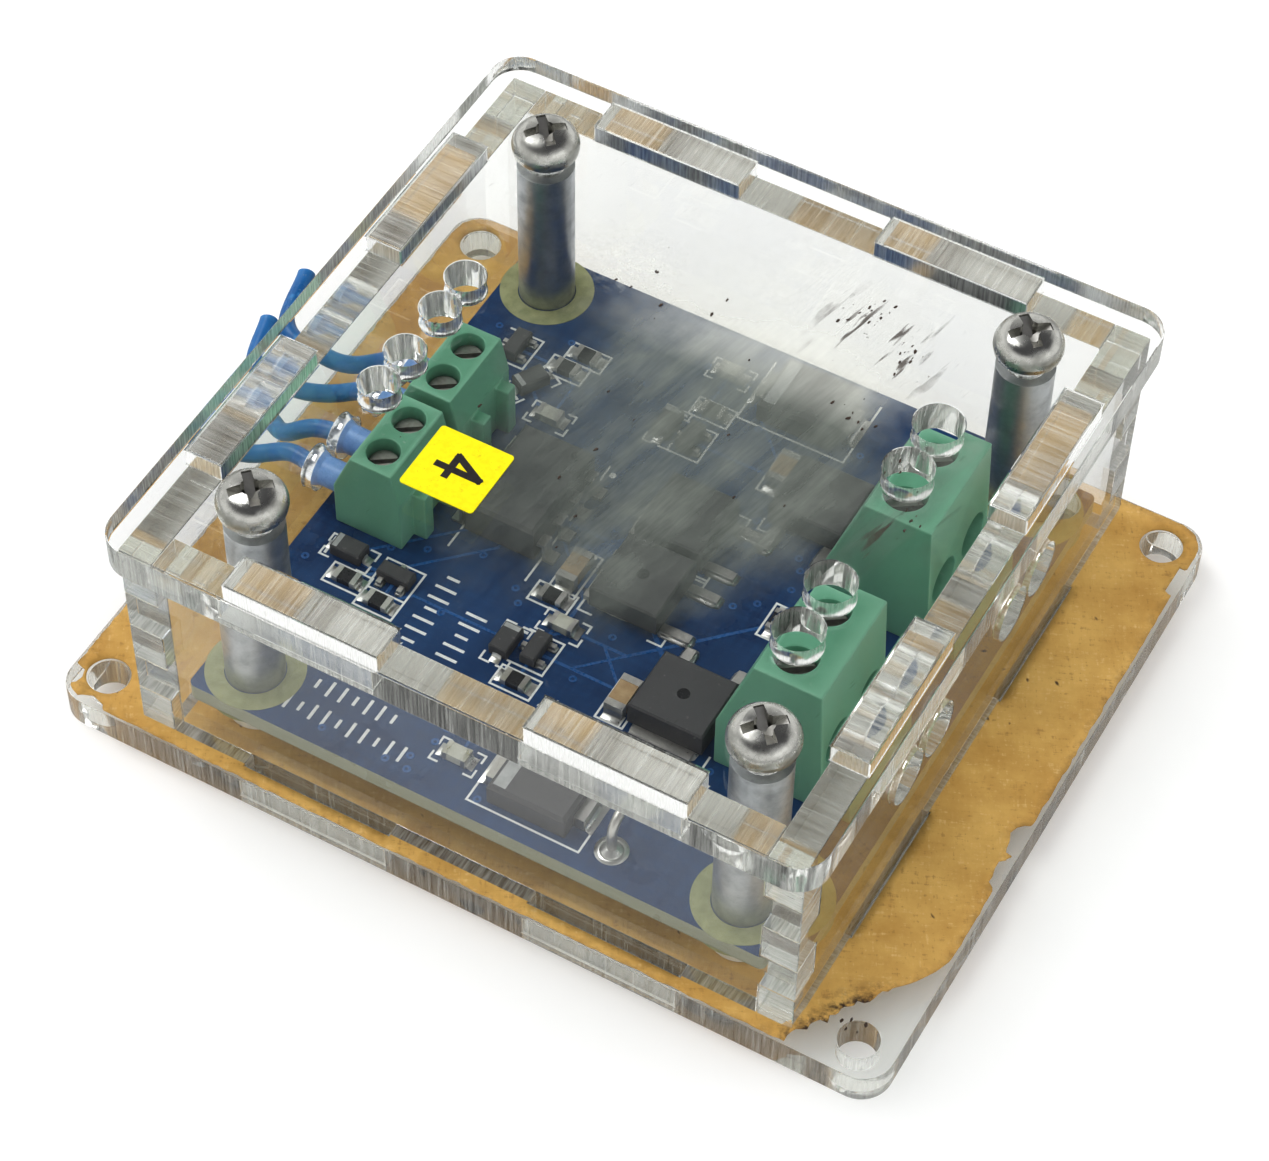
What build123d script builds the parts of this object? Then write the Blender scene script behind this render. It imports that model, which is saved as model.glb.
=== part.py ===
from build123d import *
import os
from types import SimpleNamespace

# Dual-channel solid state relay board in a slotted acrylic box, in millimetres.
# The origin is at the centre of the underside of the base plate, +Z up,
# +X towards the output terminals, +Y towards the back wall.

os.makedirs("parts", exist_ok=True)

# --- sheet stock and clearances ---------------------------------------------
SHEET = 3.0  # acrylic sheet thickness
PAPER = 0.2  # kraft masking paper left on the base plate
SLOT_GAP = 0.1  # gap all round a tab in its slot
FINGER_GAP = 0.05  # gap between corner fingers, along the wall height

# --- outlines ----------------------------------------------------------------
LID_SIDE = 60.4  # square lid; the base plate is as deep
BASE_HOLES_X = 67.0
BASE_HOLES_Y = 54.0
BASE_HOLE_INSET = 3.2  # from a mounting hole to the plate's edges
BASE_LENGTH = BASE_HOLES_X + 2 * BASE_HOLE_INSET
BASE_CORNER = 2.6
LID_CORNER = 2.6
BASE_HOLE_R = 1.6
WALL_OUTER = 57.8  # square box formed by the four walls
WALL_MID = (WALL_OUTER - SHEET) / 2  # wall mid-plane from the centre
WALL_FACE = WALL_OUTER / 2
BOARD_SIDE = 50.8
BOARD_THICK = 1.6
SCREW_PITCH = 43.18  # square pattern of lid screws and standoffs

# --- heights -------------------------------------------------------------------
SPACER_LENGTH = 3.0
STANDOFF_LENGTH = 15.0
Z_FLOOR = SHEET + PAPER
Z_BOARD_UNDER = Z_FLOOR + SPACER_LENGTH
Z_BOARD = Z_BOARD_UNDER + BOARD_THICK
Z_LID_UNDER = Z_BOARD + STANDOFF_LENGTH
Z_LID = Z_LID_UNDER + SHEET
WALL_HEIGHT = Z_LID_UNDER - Z_FLOOR

# --- tabs and corner fingers ----------------------------------------------------
TAB_CENTRE = 12.8
TAB_LENGTH = 13.2
FINGER_COUNT = 5  # odd fingers belong to the side walls, even ones to front and back
FINGER = WALL_HEIGHT / FINGER_COUNT

# --- M3 fastening ---------------------------------------------------------------
M3_SHANK_R = 1.45
M3_BORE_R = 1.5
M3_CLEAR_R = 1.6
STANDOFF_R = 2.38
SPACER_R = 2.5
STANDOFF_BORE_DEPTH = 6.5
LID_SCREW_LENGTH = 8.0
PAN_HEAD_R = 2.8
PAN_HEAD_HEIGHT = 2.4
BASE_SCREW_LENGTH = 12.0
SINK_R = 2.75  # countersunk head of the screws under the base
SINK_DEPTH = 1.65

# --- terminals -------------------------------------------------------------------
INPUT_X = -20.0
INPUT_PITCH = 3.81
INPUT_BLOCK_Y = 4.5
INPUT_ENTRY_Z = 2.8  # wire entry axis above the board
OUTPUT_X = 19.0
OUTPUT_PITCH = 5.08
OUTPUT_BLOCK_Y = 8.85
OUTPUT_ENTRY_Z = 5.6
INPUT_TOOL_R = 1.65  # screwdriver holes in the lid
OUTPUT_TOOL_R = 2.0
INPUT_WIRE_HOLE_R = 1.8
OUTPUT_WIRE_HOLE_R = 2.3
OUTPUT_WIRE_HOLE_Z = Z_BOARD + 6.4

SCREW_SPOTS = [
    ("front_left", -SCREW_PITCH / 2, -SCREW_PITCH / 2),
    ("front_right", SCREW_PITCH / 2, -SCREW_PITCH / 2),
    ("rear_left", -SCREW_PITCH / 2, SCREW_PITCH / 2),
    ("rear_right", SCREW_PITCH / 2, SCREW_PITCH / 2),
]


def pole_rows(block_y, pitch):
    """Y of the four poles of two two-way blocks, from front to back."""
    return [side * block_y + step * pitch / 2 for side in (-1, 1) for step in (-1, 1)]


INPUT_ROWS = pole_rows(INPUT_BLOCK_Y, INPUT_PITCH)
OUTPUT_ROWS = pole_rows(OUTPUT_BLOCK_Y, OUTPUT_PITCH)
INPUT_POLES = [(INPUT_X, y) for y in INPUT_ROWS]
OUTPUT_POLES = [(OUTPUT_X, y) for y in OUTPUT_ROWS]
TAB_SPOTS = [
    (TAB_CENTRE, WALL_MID, 0),
    (-TAB_CENTRE, WALL_MID, 0),
    (TAB_CENTRE, -WALL_MID, 0),
    (-TAB_CENTRE, -WALL_MID, 0),
    (WALL_MID, TAB_CENTRE, 90),
    (WALL_MID, -TAB_CENTRE, 90),
    (-WALL_MID, TAB_CENTRE, 90),
    (-WALL_MID, -TAB_CENTRE, 90),
]


def save(builder, name):
    """Label a finished piece and write it as its own STEP file."""
    builder.part.label = name
    export_step(builder.part, f"parts/{name}.step")


def at(spots):
    """Locations for (x, y) or (x, y, turn) spots."""
    return Locations(*[Location((*s[:2], 0), (0, 0, s[2] if len(s) > 2 else 0)) for s in spots])


def upright(x, y, z):
    """A sketch plane that faces the front: its x is +X and its y is +Z."""
    return Plane(origin=(x, y, z), x_dir=(1, 0, 0), z_dir=(0, -1, 0))


# =============================================================================
# Acrylic box
# =============================================================================
SLOT_LENGTH = TAB_LENGTH + 2 * SLOT_GAP
SLOT_WIDTH = SHEET + 2 * SLOT_GAP

with BuildPart() as base_plate:
    with BuildSketch():
        RectangleRounded(BASE_LENGTH, LID_SIDE, BASE_CORNER)
        with GridLocations(BASE_HOLES_X, BASE_HOLES_Y, 2, 2):
            Circle(BASE_HOLE_R, mode=Mode.SUBTRACT)
        with at(TAB_SPOTS):
            Rectangle(SLOT_LENGTH, SLOT_WIDTH, mode=Mode.SUBTRACT)
    extrude(amount=SHEET)
    with Locations(Plane.XY.rotated((180, 0, 0))):
        with GridLocations(SCREW_PITCH, SCREW_PITCH, 2, 2):
            CounterSinkHole(M3_CLEAR_R, SINK_R + SLOT_GAP, counter_sink_angle=90)
save(base_plate, "base_plate")

# The paper keeps clear of the slots; its right front corner is torn away.
PAPER_EDGE_X = BASE_LENGTH / 2 - 0.3
PAPER_EDGE_Y = LID_SIDE / 2 - 0.2
PAPER_HOLE_R = BASE_HOLE_R + 0.2  # the paper is worn back round the mounting holes
TEAR = [
    (PAPER_EDGE_X, -16.0),
    (PAPER_EDGE_X - 0.9, -19.5),
    (PAPER_EDGE_X - 3.0, -22.5),
    (PAPER_EDGE_X - 4.6, -25.6),
    (PAPER_EDGE_X - 6.4, -28.2),
    (PAPER_EDGE_X - 7.6, -PAPER_EDGE_Y),
]
with BuildPart() as base_paper:
    with BuildSketch(Plane.XY.offset(SHEET)) as paper_outline:
        RectangleRounded(2 * PAPER_EDGE_X, 2 * PAPER_EDGE_Y, BASE_CORNER)
        with BuildLine():
            Spline(*TEAR)
            Polyline(TEAR[-1], (BASE_LENGTH, -LID_SIDE), (BASE_LENGTH, TEAR[0][1]), TEAR[0])
        make_face(mode=Mode.SUBTRACT)
        with GridLocations(BASE_HOLES_X, BASE_HOLES_Y, 2, 2):
            Circle(PAPER_HOLE_R, mode=Mode.SUBTRACT)
        with GridLocations(SCREW_PITCH, SCREW_PITCH, 2, 2):
            Circle(M3_CLEAR_R, mode=Mode.SUBTRACT)
        with at(TAB_SPOTS):
            Rectangle(SLOT_LENGTH, SLOT_WIDTH, mode=Mode.SUBTRACT)
    extrude(amount=PAPER)
save(base_paper, "base_paper")


def wall(plane, owns_odd_fingers, bores=(), bore_r=0.0, bore_z=0.0):
    """One wall drawn on its outer face, with tabs up and down and corner fingers.

    The sketch runs along the wall (x) and up from the base plate's underside (y).
    bores are the places of wire holes along the wall.
    """
    with BuildPart() as panel:
        with BuildSketch(plane):
            with Locations((0, (Z_FLOOR + Z_LID_UNDER) / 2)):
                Rectangle(WALL_OUTER, WALL_HEIGHT)
            with Locations((-TAB_CENTRE, Z_LID / 2), (TAB_CENTRE, Z_LID / 2)):
                Rectangle(TAB_LENGTH, Z_LID)
            for number in range(FINGER_COUNT):
                if (number % 2 == 0) != owns_odd_fingers:
                    height = Z_FLOOR + (number + 0.5) * FINGER
                    with Locations((-WALL_MID, height), (WALL_MID, height)):
                        Rectangle(SHEET + FINGER_GAP, FINGER + FINGER_GAP, mode=Mode.SUBTRACT)
            if bores:
                with Locations(*[(place, bore_z) for place in bores]):
                    Circle(bore_r, mode=Mode.SUBTRACT)
        extrude(amount=-SHEET)
    return panel


FRONT_PLANE = Plane(origin=(0, -WALL_FACE, 0), x_dir=(1, 0, 0), z_dir=(0, -1, 0))
BACK_PLANE = Plane(origin=(0, WALL_FACE, 0), x_dir=(-1, 0, 0), z_dir=(0, 1, 0))
LEFT_PLANE = Plane(origin=(-WALL_FACE, 0, 0), x_dir=(0, -1, 0), z_dir=(-1, 0, 0))
RIGHT_PLANE = Plane(origin=(WALL_FACE, 0, 0), x_dir=(0, 1, 0), z_dir=(1, 0, 0))

front_wall = wall(FRONT_PLANE, owns_odd_fingers=False)
save(front_wall, "front_wall")
back_wall = wall(BACK_PLANE, owns_odd_fingers=False)
save(back_wall, "back_wall")
left_wall = wall(LEFT_PLANE, True, INPUT_ROWS, INPUT_WIRE_HOLE_R, Z_BOARD + INPUT_ENTRY_Z)
save(left_wall, "left_wall")
right_wall = wall(RIGHT_PLANE, True, OUTPUT_ROWS, OUTPUT_WIRE_HOLE_R, OUTPUT_WIRE_HOLE_Z)
save(right_wall, "right_wall")

with BuildPart() as lid:
    with BuildSketch(Plane.XY.offset(Z_LID_UNDER)):
        RectangleRounded(LID_SIDE, LID_SIDE, LID_CORNER)
        with GridLocations(SCREW_PITCH, SCREW_PITCH, 2, 2):
            Circle(M3_CLEAR_R, mode=Mode.SUBTRACT)
        with at(TAB_SPOTS):
            Rectangle(SLOT_LENGTH, SLOT_WIDTH, mode=Mode.SUBTRACT)
        with at(INPUT_POLES):
            Circle(INPUT_TOOL_R, mode=Mode.SUBTRACT)
        with at(OUTPUT_POLES):
            Circle(OUTPUT_TOOL_R, mode=Mode.SUBTRACT)
    extrude(amount=SHEET)
save(lid, "lid")

LABEL_SIDE = 6.4
LABEL_THICK = 0.1
LABEL_SPOT = (-10.3, -10.9)
with BuildPart() as number_label:
    with BuildSketch(Plane.XY.offset(Z_LID)):
        with Locations(LABEL_SPOT):
            RectangleRounded(LABEL_SIDE, LABEL_SIDE, 0.3)
    extrude(amount=LABEL_THICK)
save(number_label, "number_label")

# =============================================================================
# Fasteners
# =============================================================================


def pan_screw(x, y):
    """M3 pan head screw with a cross recess, its head on the lid."""
    rim_height = 0.5
    crown_r = 1.6
    crown_height = PAN_HEAD_HEIGHT - 0.2
    recess_reach = 1.75
    recess_width = 0.8
    recess_depth = 1.6
    with BuildPart() as screw:
        with BuildSketch(upright(x, y, Z_LID)):
            with BuildLine():
                Line((0, 0), (PAN_HEAD_R - 0.1, 0))
                Line((PAN_HEAD_R - 0.1, 0), (PAN_HEAD_R, rim_height))
                ThreePointArc((PAN_HEAD_R, rim_height), (2.45, 1.6), (crown_r, crown_height))
                ThreePointArc(
                    (crown_r, crown_height),
                    (crown_r / 2, PAN_HEAD_HEIGHT - 0.05),
                    (0, PAN_HEAD_HEIGHT),
                )
                Line((0, PAN_HEAD_HEIGHT), (0, 0))
            make_face()
        revolve(axis=Axis((x, y, 0), (0, 0, 1)))
        with BuildSketch(Plane.XY.offset(Z_LID)):
            with Locations((x, y)):
                Circle(M3_SHANK_R)
        extrude(amount=-LID_SCREW_LENGTH)
        with BuildSketch(Plane.XY.offset(Z_LID + PAN_HEAD_HEIGHT - recess_depth)):
            with Locations((x, y)):
                Rectangle(2 * recess_reach, recess_width, rotation=45)
                Rectangle(recess_width, 2 * recess_reach, rotation=45)
                Circle(recess_width)
        extrude(amount=2 * recess_depth, mode=Mode.SUBTRACT)
    return screw


for corner, x, y in SCREW_SPOTS:
    save(pan_screw(x, y), f"lid_screw_{corner}")

with BuildPart() as standoffs:
    with BuildSketch(Plane.XY.offset(Z_BOARD)):
        with GridLocations(SCREW_PITCH, SCREW_PITCH, 2, 2):
            Circle(STANDOFF_R)
    extrude(amount=STANDOFF_LENGTH)
    for height, depth in ((Z_BOARD, STANDOFF_BORE_DEPTH), (Z_LID_UNDER, -STANDOFF_BORE_DEPTH)):
        with BuildSketch(Plane.XY.offset(height)):
            with GridLocations(SCREW_PITCH, SCREW_PITCH, 2, 2):
                Circle(M3_BORE_R)
        extrude(amount=depth, mode=Mode.SUBTRACT)
save(standoffs, "standoffs")

with BuildPart() as board_spacers:
    with BuildSketch(Plane.XY.offset(Z_FLOOR)):
        with GridLocations(SCREW_PITCH, SCREW_PITCH, 2, 2):
            Circle(SPACER_R)
            Circle(M3_CLEAR_R, mode=Mode.SUBTRACT)
    extrude(amount=SPACER_LENGTH)
save(board_spacers, "board_spacers")

HEAD_FLUSH = 0.15  # the countersunk heads sit this far inside the plate
HEX_SOCKET_R = 1.15
HEX_SOCKET_DEPTH = 1.2
with BuildPart() as base_screws:
    for corner, x, y in SCREW_SPOTS:
        with BuildSketch(upright(x, y, HEAD_FLUSH)):
            with BuildLine():
                Polyline(
                    (0, 0),
                    (SINK_R - HEAD_FLUSH, 0),
                    (M3_SHANK_R, SINK_R - M3_SHANK_R - HEAD_FLUSH),
                    (M3_SHANK_R, BASE_SCREW_LENGTH),
                    (0, BASE_SCREW_LENGTH),
                    close=True,
                )
            make_face()
        revolve(axis=Axis((x, y, 0), (0, 0, 1)))
        with BuildSketch(Plane.XY.offset(HEAD_FLUSH)):
            with Locations((x, y)):
                RegularPolygon(HEX_SOCKET_R, 6)
        extrude(amount=HEX_SOCKET_DEPTH, mode=Mode.SUBTRACT)
save(base_screws, "base_screws")

# =============================================================================
# Screw terminals
# =============================================================================
# Every height below is above the board, every x is from the row of screws.

# Sizes of the two kinds of rising-cage terminal; the wire enters on side = -1 or +1 of x.
INPUT = SimpleNamespace(
    side=-1, pitch=INPUT_PITCH, x=INPUT_X, height=8.5, end_wall=0.15,
    outline=[(-3.6, 0), (-3.6, 4.4), (-1.9, 8.5), (1.9, 8.5), (2.6, 5.4), (2.6, 0)],
    well_r=1.35, well_floor=6.15, pocket_x=(-1.5, 1.95), pocket_y=1.4,
    entry_z=INPUT_ENTRY_Z, entry_r=1.35,
    head_r=1.22, head_height=1.1, head_z=6.2, slot=0.45,
    shank_r=0.78, thread_r=0.80, shank_tip=4.35,
    cage_x=1.4, cage_y=1.3, cage_z=(1.45, 6.1), window_y=0.85, window_z=(2.0, 5.3),
    jaw_z=(3.8, 4.2), jaw_y=0.6, jaw_reach=1.3, leg_x=(1.5, 1.9), leg_y=0.4, hole_r=0.62,
)
OUTPUT = SimpleNamespace(
    side=1, pitch=OUTPUT_PITCH, x=OUTPUT_X, height=13.7, end_wall=0.15,
    outline=[(-5.1, 0), (-5.1, 5.2), (-2.2, 13.7), (3.5, 13.7), (4.2, 0)],
    well_r=1.75, well_floor=10.35, pocket_x=(-2.85, 2.3), pocket_y=2.2,
    entry_z=OUTPUT_ENTRY_Z, entry_r=1.9,
    head_r=1.62, head_height=1.3, head_z=10.4, slot=0.7,
    shank_r=1.22, thread_r=1.25, shank_tip=7.95,
    cage_x=2.2, cage_y=2.1, cage_z=(2.9, 8.8), window_y=1.5, window_z=(3.8, 7.9),
    jaw_z=(7.3, 7.8), jaw_y=1.2, jaw_reach=1.9, leg_x=(-2.75, -2.35), leg_y=0.5, hole_r=0.75,
)
PIN_BELOW = 1.2  # pins stand out under the board


def housing(kind, block_y, lugs):
    """Two-way moulded housing, open underneath; lugs are ribs on the closed side."""
    length = 2 * kind.pitch + 2 * kind.end_wall
    with BuildPart() as block:
        with BuildSketch(upright(kind.x, block_y + length / 2, Z_BOARD)):
            with BuildLine():
                Polyline(*kind.outline, close=True)
            make_face()
        extrude(amount=length)
        poles = [block_y + step * kind.pitch / 2 for step in (-1, 1)]
        for x, y, wide, deep, tall in lugs:
            with BuildSketch(Plane.XY.offset(Z_BOARD)):
                with Locations(*[(kind.x + x, pole + y) for pole in poles]):
                    Rectangle(wide, deep)
            extrude(amount=tall)
        pocket_length = kind.pocket_x[1] - kind.pocket_x[0]
        pocket_mid = sum(kind.pocket_x) / 2
        for y in poles:
            with BuildSketch(Plane.XY.offset(Z_BOARD)):
                with Locations((kind.x + pocket_mid, y)):
                    Rectangle(pocket_length, 2 * kind.pocket_y)
            extrude(amount=kind.well_floor, mode=Mode.SUBTRACT)
            with BuildSketch(Plane.XY.offset(Z_BOARD + kind.height)):
                with Locations((kind.x, y)):
                    Circle(kind.well_r)
            extrude(amount=-kind.height, mode=Mode.SUBTRACT)
            with BuildSketch(Plane.YZ.offset(kind.x)):
                with Locations((y, Z_BOARD + kind.entry_z)):
                    Circle(kind.entry_r)
            extrude(amount=kind.side * kind.pitch * 2, mode=Mode.SUBTRACT)
    return block


INPUT_LUGS = [(3.1, 0.4, 1.4, 1.2, 5.0)]  # x, y, length, width, height
for name, block_y in (("front", -INPUT_BLOCK_Y), ("rear", INPUT_BLOCK_Y)):
    save(housing(INPUT, block_y, INPUT_LUGS), f"{name}_input_terminal")
for name, block_y in (("front", -OUTPUT_BLOCK_Y), ("rear", OUTPUT_BLOCK_Y)):
    save(housing(OUTPUT, block_y, []), f"{name}_output_terminal")


HEAD_EDGE = 0.12  # rounding of a terminal screw's head
SLOT_DEPTH_SHARE = 0.55  # slot depth over head height
SLOT_TURN = 35


def terminal_screw(kind, y):
    """Slotted screw that turns in its well and draws the cage up."""
    top = Z_BOARD + kind.head_z + kind.head_height
    with BuildPart() as screw:
        with BuildSketch(Plane.XY.offset(Z_BOARD + kind.head_z)):
            with Locations((kind.x, y)):
                Circle(kind.head_r)
        extrude(amount=kind.head_height)
        fillet(screw.edges().group_by(Axis.Z)[-1], HEAD_EDGE)
        with BuildSketch(Plane.XY.offset(Z_BOARD + kind.shank_tip)):
            with Locations((kind.x, y)):
                Circle(kind.shank_r)
        extrude(amount=kind.head_z - kind.shank_tip)
        with BuildSketch(Plane.XY.offset(top)):
            with Locations((kind.x, y)):
                Rectangle(4 * kind.head_r, kind.slot, rotation=SLOT_TURN)
        extrude(amount=-SLOT_DEPTH_SHARE * kind.head_height, mode=Mode.SUBTRACT)
    return screw


def clamp_cage(kind, y):
    """Closed metal loop; its top bar runs on the screw and its window takes the wire."""
    with BuildPart() as cage:
        with BuildSketch(Plane.XY.offset(Z_BOARD + kind.cage_z[0])):
            with Locations((kind.x, y)):
                RectangleRounded(2 * kind.cage_x, 2 * kind.cage_y, 0.25)
        extrude(amount=kind.cage_z[1] - kind.cage_z[0])
        window_height = kind.window_z[1] - kind.window_z[0]
        with BuildSketch(Plane.YZ.offset(kind.x - 2 * kind.cage_x)):
            with Locations((y, Z_BOARD + kind.window_z[0] + window_height / 2)):
                RectangleRounded(2 * kind.window_y, window_height, 0.2)
        extrude(amount=4 * kind.cage_x, mode=Mode.SUBTRACT)
        with BuildSketch(Plane.XY.offset(Z_BOARD + kind.cage_z[1])):
            with Locations((kind.x, y)):
                Circle(kind.thread_r)
        extrude(amount=kind.window_z[1] - kind.cage_z[1], mode=Mode.SUBTRACT)
    return cage


def contact_pins(kind, rows):
    """Fixed jaws: a plate through each cage's window and a leg soldered in the board."""
    jaw_start = kind.side * kind.jaw_reach
    jaw_end = max(kind.leg_x, key=abs)
    with BuildPart() as pins:
        with BuildSketch(Plane.XY.offset(Z_BOARD + kind.jaw_z[0])):
            for y in rows:
                with Locations((kind.x + (jaw_start + jaw_end) / 2, y)):
                    Rectangle(abs(jaw_end - jaw_start), 2 * kind.jaw_y)
        extrude(amount=kind.jaw_z[1] - kind.jaw_z[0])
        with BuildSketch(Plane.XY.offset(Z_BOARD + kind.jaw_z[1])):
            for y in rows:
                with Locations((kind.x + sum(kind.leg_x) / 2, y)):
                    Rectangle(kind.leg_x[1] - kind.leg_x[0], 2 * kind.leg_y)
        extrude(amount=-(kind.jaw_z[1] + BOARD_THICK + PIN_BELOW))
    return pins


for label, kind, rows in (("input", INPUT, INPUT_ROWS), ("output", OUTPUT, OUTPUT_ROWS)):
    for number, y in enumerate(rows, start=1):
        save(terminal_screw(kind, y), f"{label}_screw_{number}")
        save(clamp_cage(kind, y), f"{label}_cage_{number}")
    save(contact_pins(kind, rows), f"{label}_pins")

# =============================================================================
# Circuit board and its components
# =============================================================================
LINK_SPOTS = [(10.9, -22.6), (10.9, -17.2)]  # pads of the bare wire link
LINK_R = 0.4
LINK_HOLE_R = 0.5

with BuildPart() as circuit_board:
    with BuildSketch(Plane.XY.offset(Z_BOARD_UNDER)):
        RectangleRounded(BOARD_SIDE, BOARD_SIDE, 0.6)
        with GridLocations(SCREW_PITCH, SCREW_PITCH, 2, 2):
            Circle(M3_CLEAR_R, mode=Mode.SUBTRACT)
        for kind, rows in ((INPUT, INPUT_ROWS), (OUTPUT, OUTPUT_ROWS)):
            with Locations(*[(kind.x + sum(kind.leg_x) / 2, y) for y in rows]):
                Circle(kind.hole_r, mode=Mode.SUBTRACT)
        with Locations(*LINK_SPOTS):
            Circle(LINK_HOLE_R, mode=Mode.SUBTRACT)
    extrude(amount=BOARD_THICK)
save(circuit_board, "circuit_board")


def chips(spots, length, width, height, rise=0.0, rounding=0.0):
    """A group of identical block-shaped bodies at (x, y, turn) spots on the board."""
    with BuildPart() as group:
        with BuildSketch(Plane.XY.offset(Z_BOARD + rise)):
            with at(spots):
                Rectangle(length, width)
        extrude(amount=height)
        if rounding:
            chamfer(group.edges().group_by(Axis.Z)[-1], rounding)
    return group


# Power transistors: a moulded body, a metal tab behind it and two leads in front.
MOSFET_SPOTS = [(9.8, -11.4, 180), (9.8, 11.4, 0), (1.4, -2.8, 90), (1.4, 4.4, 90)]
MOSFET_BODY = 6.5
MOSFET_DEPTH = 6.0
MOSFET_HEIGHT = 2.2
COOLING_THICK = 0.5
COOLING_WIDTH = 5.3
COOLING_DEPTH = 5.4
COOLING_SHIFT = 1.2  # the cooling tab stands out behind the body
MOSFET_LEAD_X = 2.28
MOSFET_LEAD_Y = -4.3
MOSFET_LEAD = (0.8, 2.6, 0.45)  # width, length, thickness
EDGE = 0.15  # moulded edges
save(chips(MOSFET_SPOTS, MOSFET_BODY, MOSFET_DEPTH, MOSFET_HEIGHT, COOLING_THICK, EDGE), "mosfets")

with BuildPart() as mosfet_tabs:
    with BuildSketch(Plane.XY.offset(Z_BOARD)):
        with at(MOSFET_SPOTS):
            with Locations((0, COOLING_SHIFT)):
                Rectangle(COOLING_WIDTH, COOLING_DEPTH)
    extrude(amount=COOLING_THICK)
    with BuildSketch(Plane.XY.offset(Z_BOARD)):
        with at(MOSFET_SPOTS):
            with Locations((-MOSFET_LEAD_X, MOSFET_LEAD_Y), (MOSFET_LEAD_X, MOSFET_LEAD_Y)):
                Rectangle(MOSFET_LEAD[0], MOSFET_LEAD[1])
    extrude(amount=MOSFET_LEAD[2])
save(mosfet_tabs, "mosfet_tabs")

# Isolating gate driver in an eight-lead body.
DRIVER_SPOT = (-10.9, 0.6)
DRIVER_WIDTH = 6.4
DRIVER_LENGTH = 9.7
DRIVER_HEIGHT = 3.3
DRIVER_RISE = 0.3
DRIVER_EDGE = 0.3
LEAD_PITCH = 2.54
LEAD_WIDTH = 1.2
LEAD_THICK = 0.27
LEAD_TOP = 1.9
LEAD_KNEE = 0.75  # how far a lead runs out before it turns down
LEAD_FOOT = 1.5  # how far its foot reaches
save(
    chips([(*DRIVER_SPOT, 0)], DRIVER_WIDTH, DRIVER_LENGTH, DRIVER_HEIGHT, DRIVER_RISE, DRIVER_EDGE),
    "gate_driver",
)

with BuildPart() as driver_leads:
    for side in (-1, 1):
        edge = DRIVER_SPOT[0] + side * DRIVER_WIDTH / 2
        knee = edge + side * LEAD_KNEE
        foot = edge + side * LEAD_FOOT
        for step in range(4):
            y = DRIVER_SPOT[1] + (step - 1.5) * LEAD_PITCH
            with BuildSketch(Plane.XZ.offset(-(y + LEAD_WIDTH / 2))):
                with BuildLine():
                    Polyline(
                        (edge, Z_BOARD + LEAD_TOP),
                        (knee, Z_BOARD + LEAD_TOP),
                        (knee, Z_BOARD + LEAD_THICK),
                        (foot, Z_BOARD + LEAD_THICK),
                        (foot, Z_BOARD),
                        (knee - side * LEAD_THICK, Z_BOARD),
                        (knee - side * LEAD_THICK, Z_BOARD + LEAD_TOP - LEAD_THICK),
                        (edge, Z_BOARD + LEAD_TOP - LEAD_THICK),
                        close=True,
                    )
                make_face()
            extrude(amount=LEAD_WIDTH)
save(driver_leads, "driver_leads")

# Surge suppressors across the two outputs.
SUPPRESSOR_SPOTS = [(3.9, -20.6, 0), (3.9, 20.6, 0)]
SUPPRESSOR_LENGTH = 6.8
SUPPRESSOR_LEAD = (0.9, 3.0, 1.2)  # length, width, height of the strap at each end
strap_x = (SUPPRESSOR_LENGTH + SUPPRESSOR_LEAD[0]) / 2
save(chips(SUPPRESSOR_SPOTS, SUPPRESSOR_LENGTH, 5.8, 2.1, EDGE, 2 * EDGE), "surge_suppressors")
with BuildPart() as suppressor_leads:
    with BuildSketch(Plane.XY.offset(Z_BOARD)):
        with at(SUPPRESSOR_SPOTS):
            with Locations((-strap_x, 0), (strap_x, 0)):
                Rectangle(SUPPRESSOR_LEAD[0], SUPPRESSOR_LEAD[1])
    extrude(amount=SUPPRESSOR_LEAD[2])
save(suppressor_leads, "suppressor_leads")

# Small parts, each group repeated for the front and the rear channel.
TRANSISTOR_SPOTS = [(-16.2, -11.2, 0), (-3.0, -11.9, 90), (-20.4, 14.6, 90), (-3.0, 13.0, 90)]
DIODE_SPOTS = [(-20.8, -10.8, 0), (-5.4, -12.4, 90), (-17.4, 11.8, 60), (-5.4, 13.4, 90)]
RESISTOR_SPOTS = [
    (-19.6, -13.1, 0), (-16.2, -13.9, 0), (-2.9, -15.2, 0), (-14.8, 16.6, 0), (-15.6, 14.6, 0),
    (-4.6, -6.6, 0), (-2.9, 16.6, 0), (12.0, 0.0, 90),
]
CAPACITOR_SPOTS = [(5.2, -12.6, 90), (5.2, 13.6, 90), (-4.3, -3.6, 90)]
LED_SPOTS = [(-3.6, -21.0, 0), (-3.6, 21.0, 0), (-2.4, -8.7, 0), (-14.2, 9.4, 0)]
TRANSISTOR_WIDTH = 1.3
TRANSISTOR_LEAD = (0.42, 0.6, 0.5)  # width, length, height of a foot
foot_x = 0.95
foot_y = (TRANSISTOR_WIDTH + TRANSISTOR_LEAD[1]) / 2
save(chips(TRANSISTOR_SPOTS, 2.9, TRANSISTOR_WIDTH, 1.0, 0.1, 0.1), "transistors")
with BuildPart() as transistor_leads:
    with BuildSketch(Plane.XY.offset(Z_BOARD)):
        with at(TRANSISTOR_SPOTS):
            with Locations((-foot_x, -foot_y), (foot_x, -foot_y), (0, foot_y)):
                Rectangle(TRANSISTOR_LEAD[0], TRANSISTOR_LEAD[1])
    extrude(amount=TRANSISTOR_LEAD[2])
save(transistor_leads, "transistor_leads")
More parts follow.
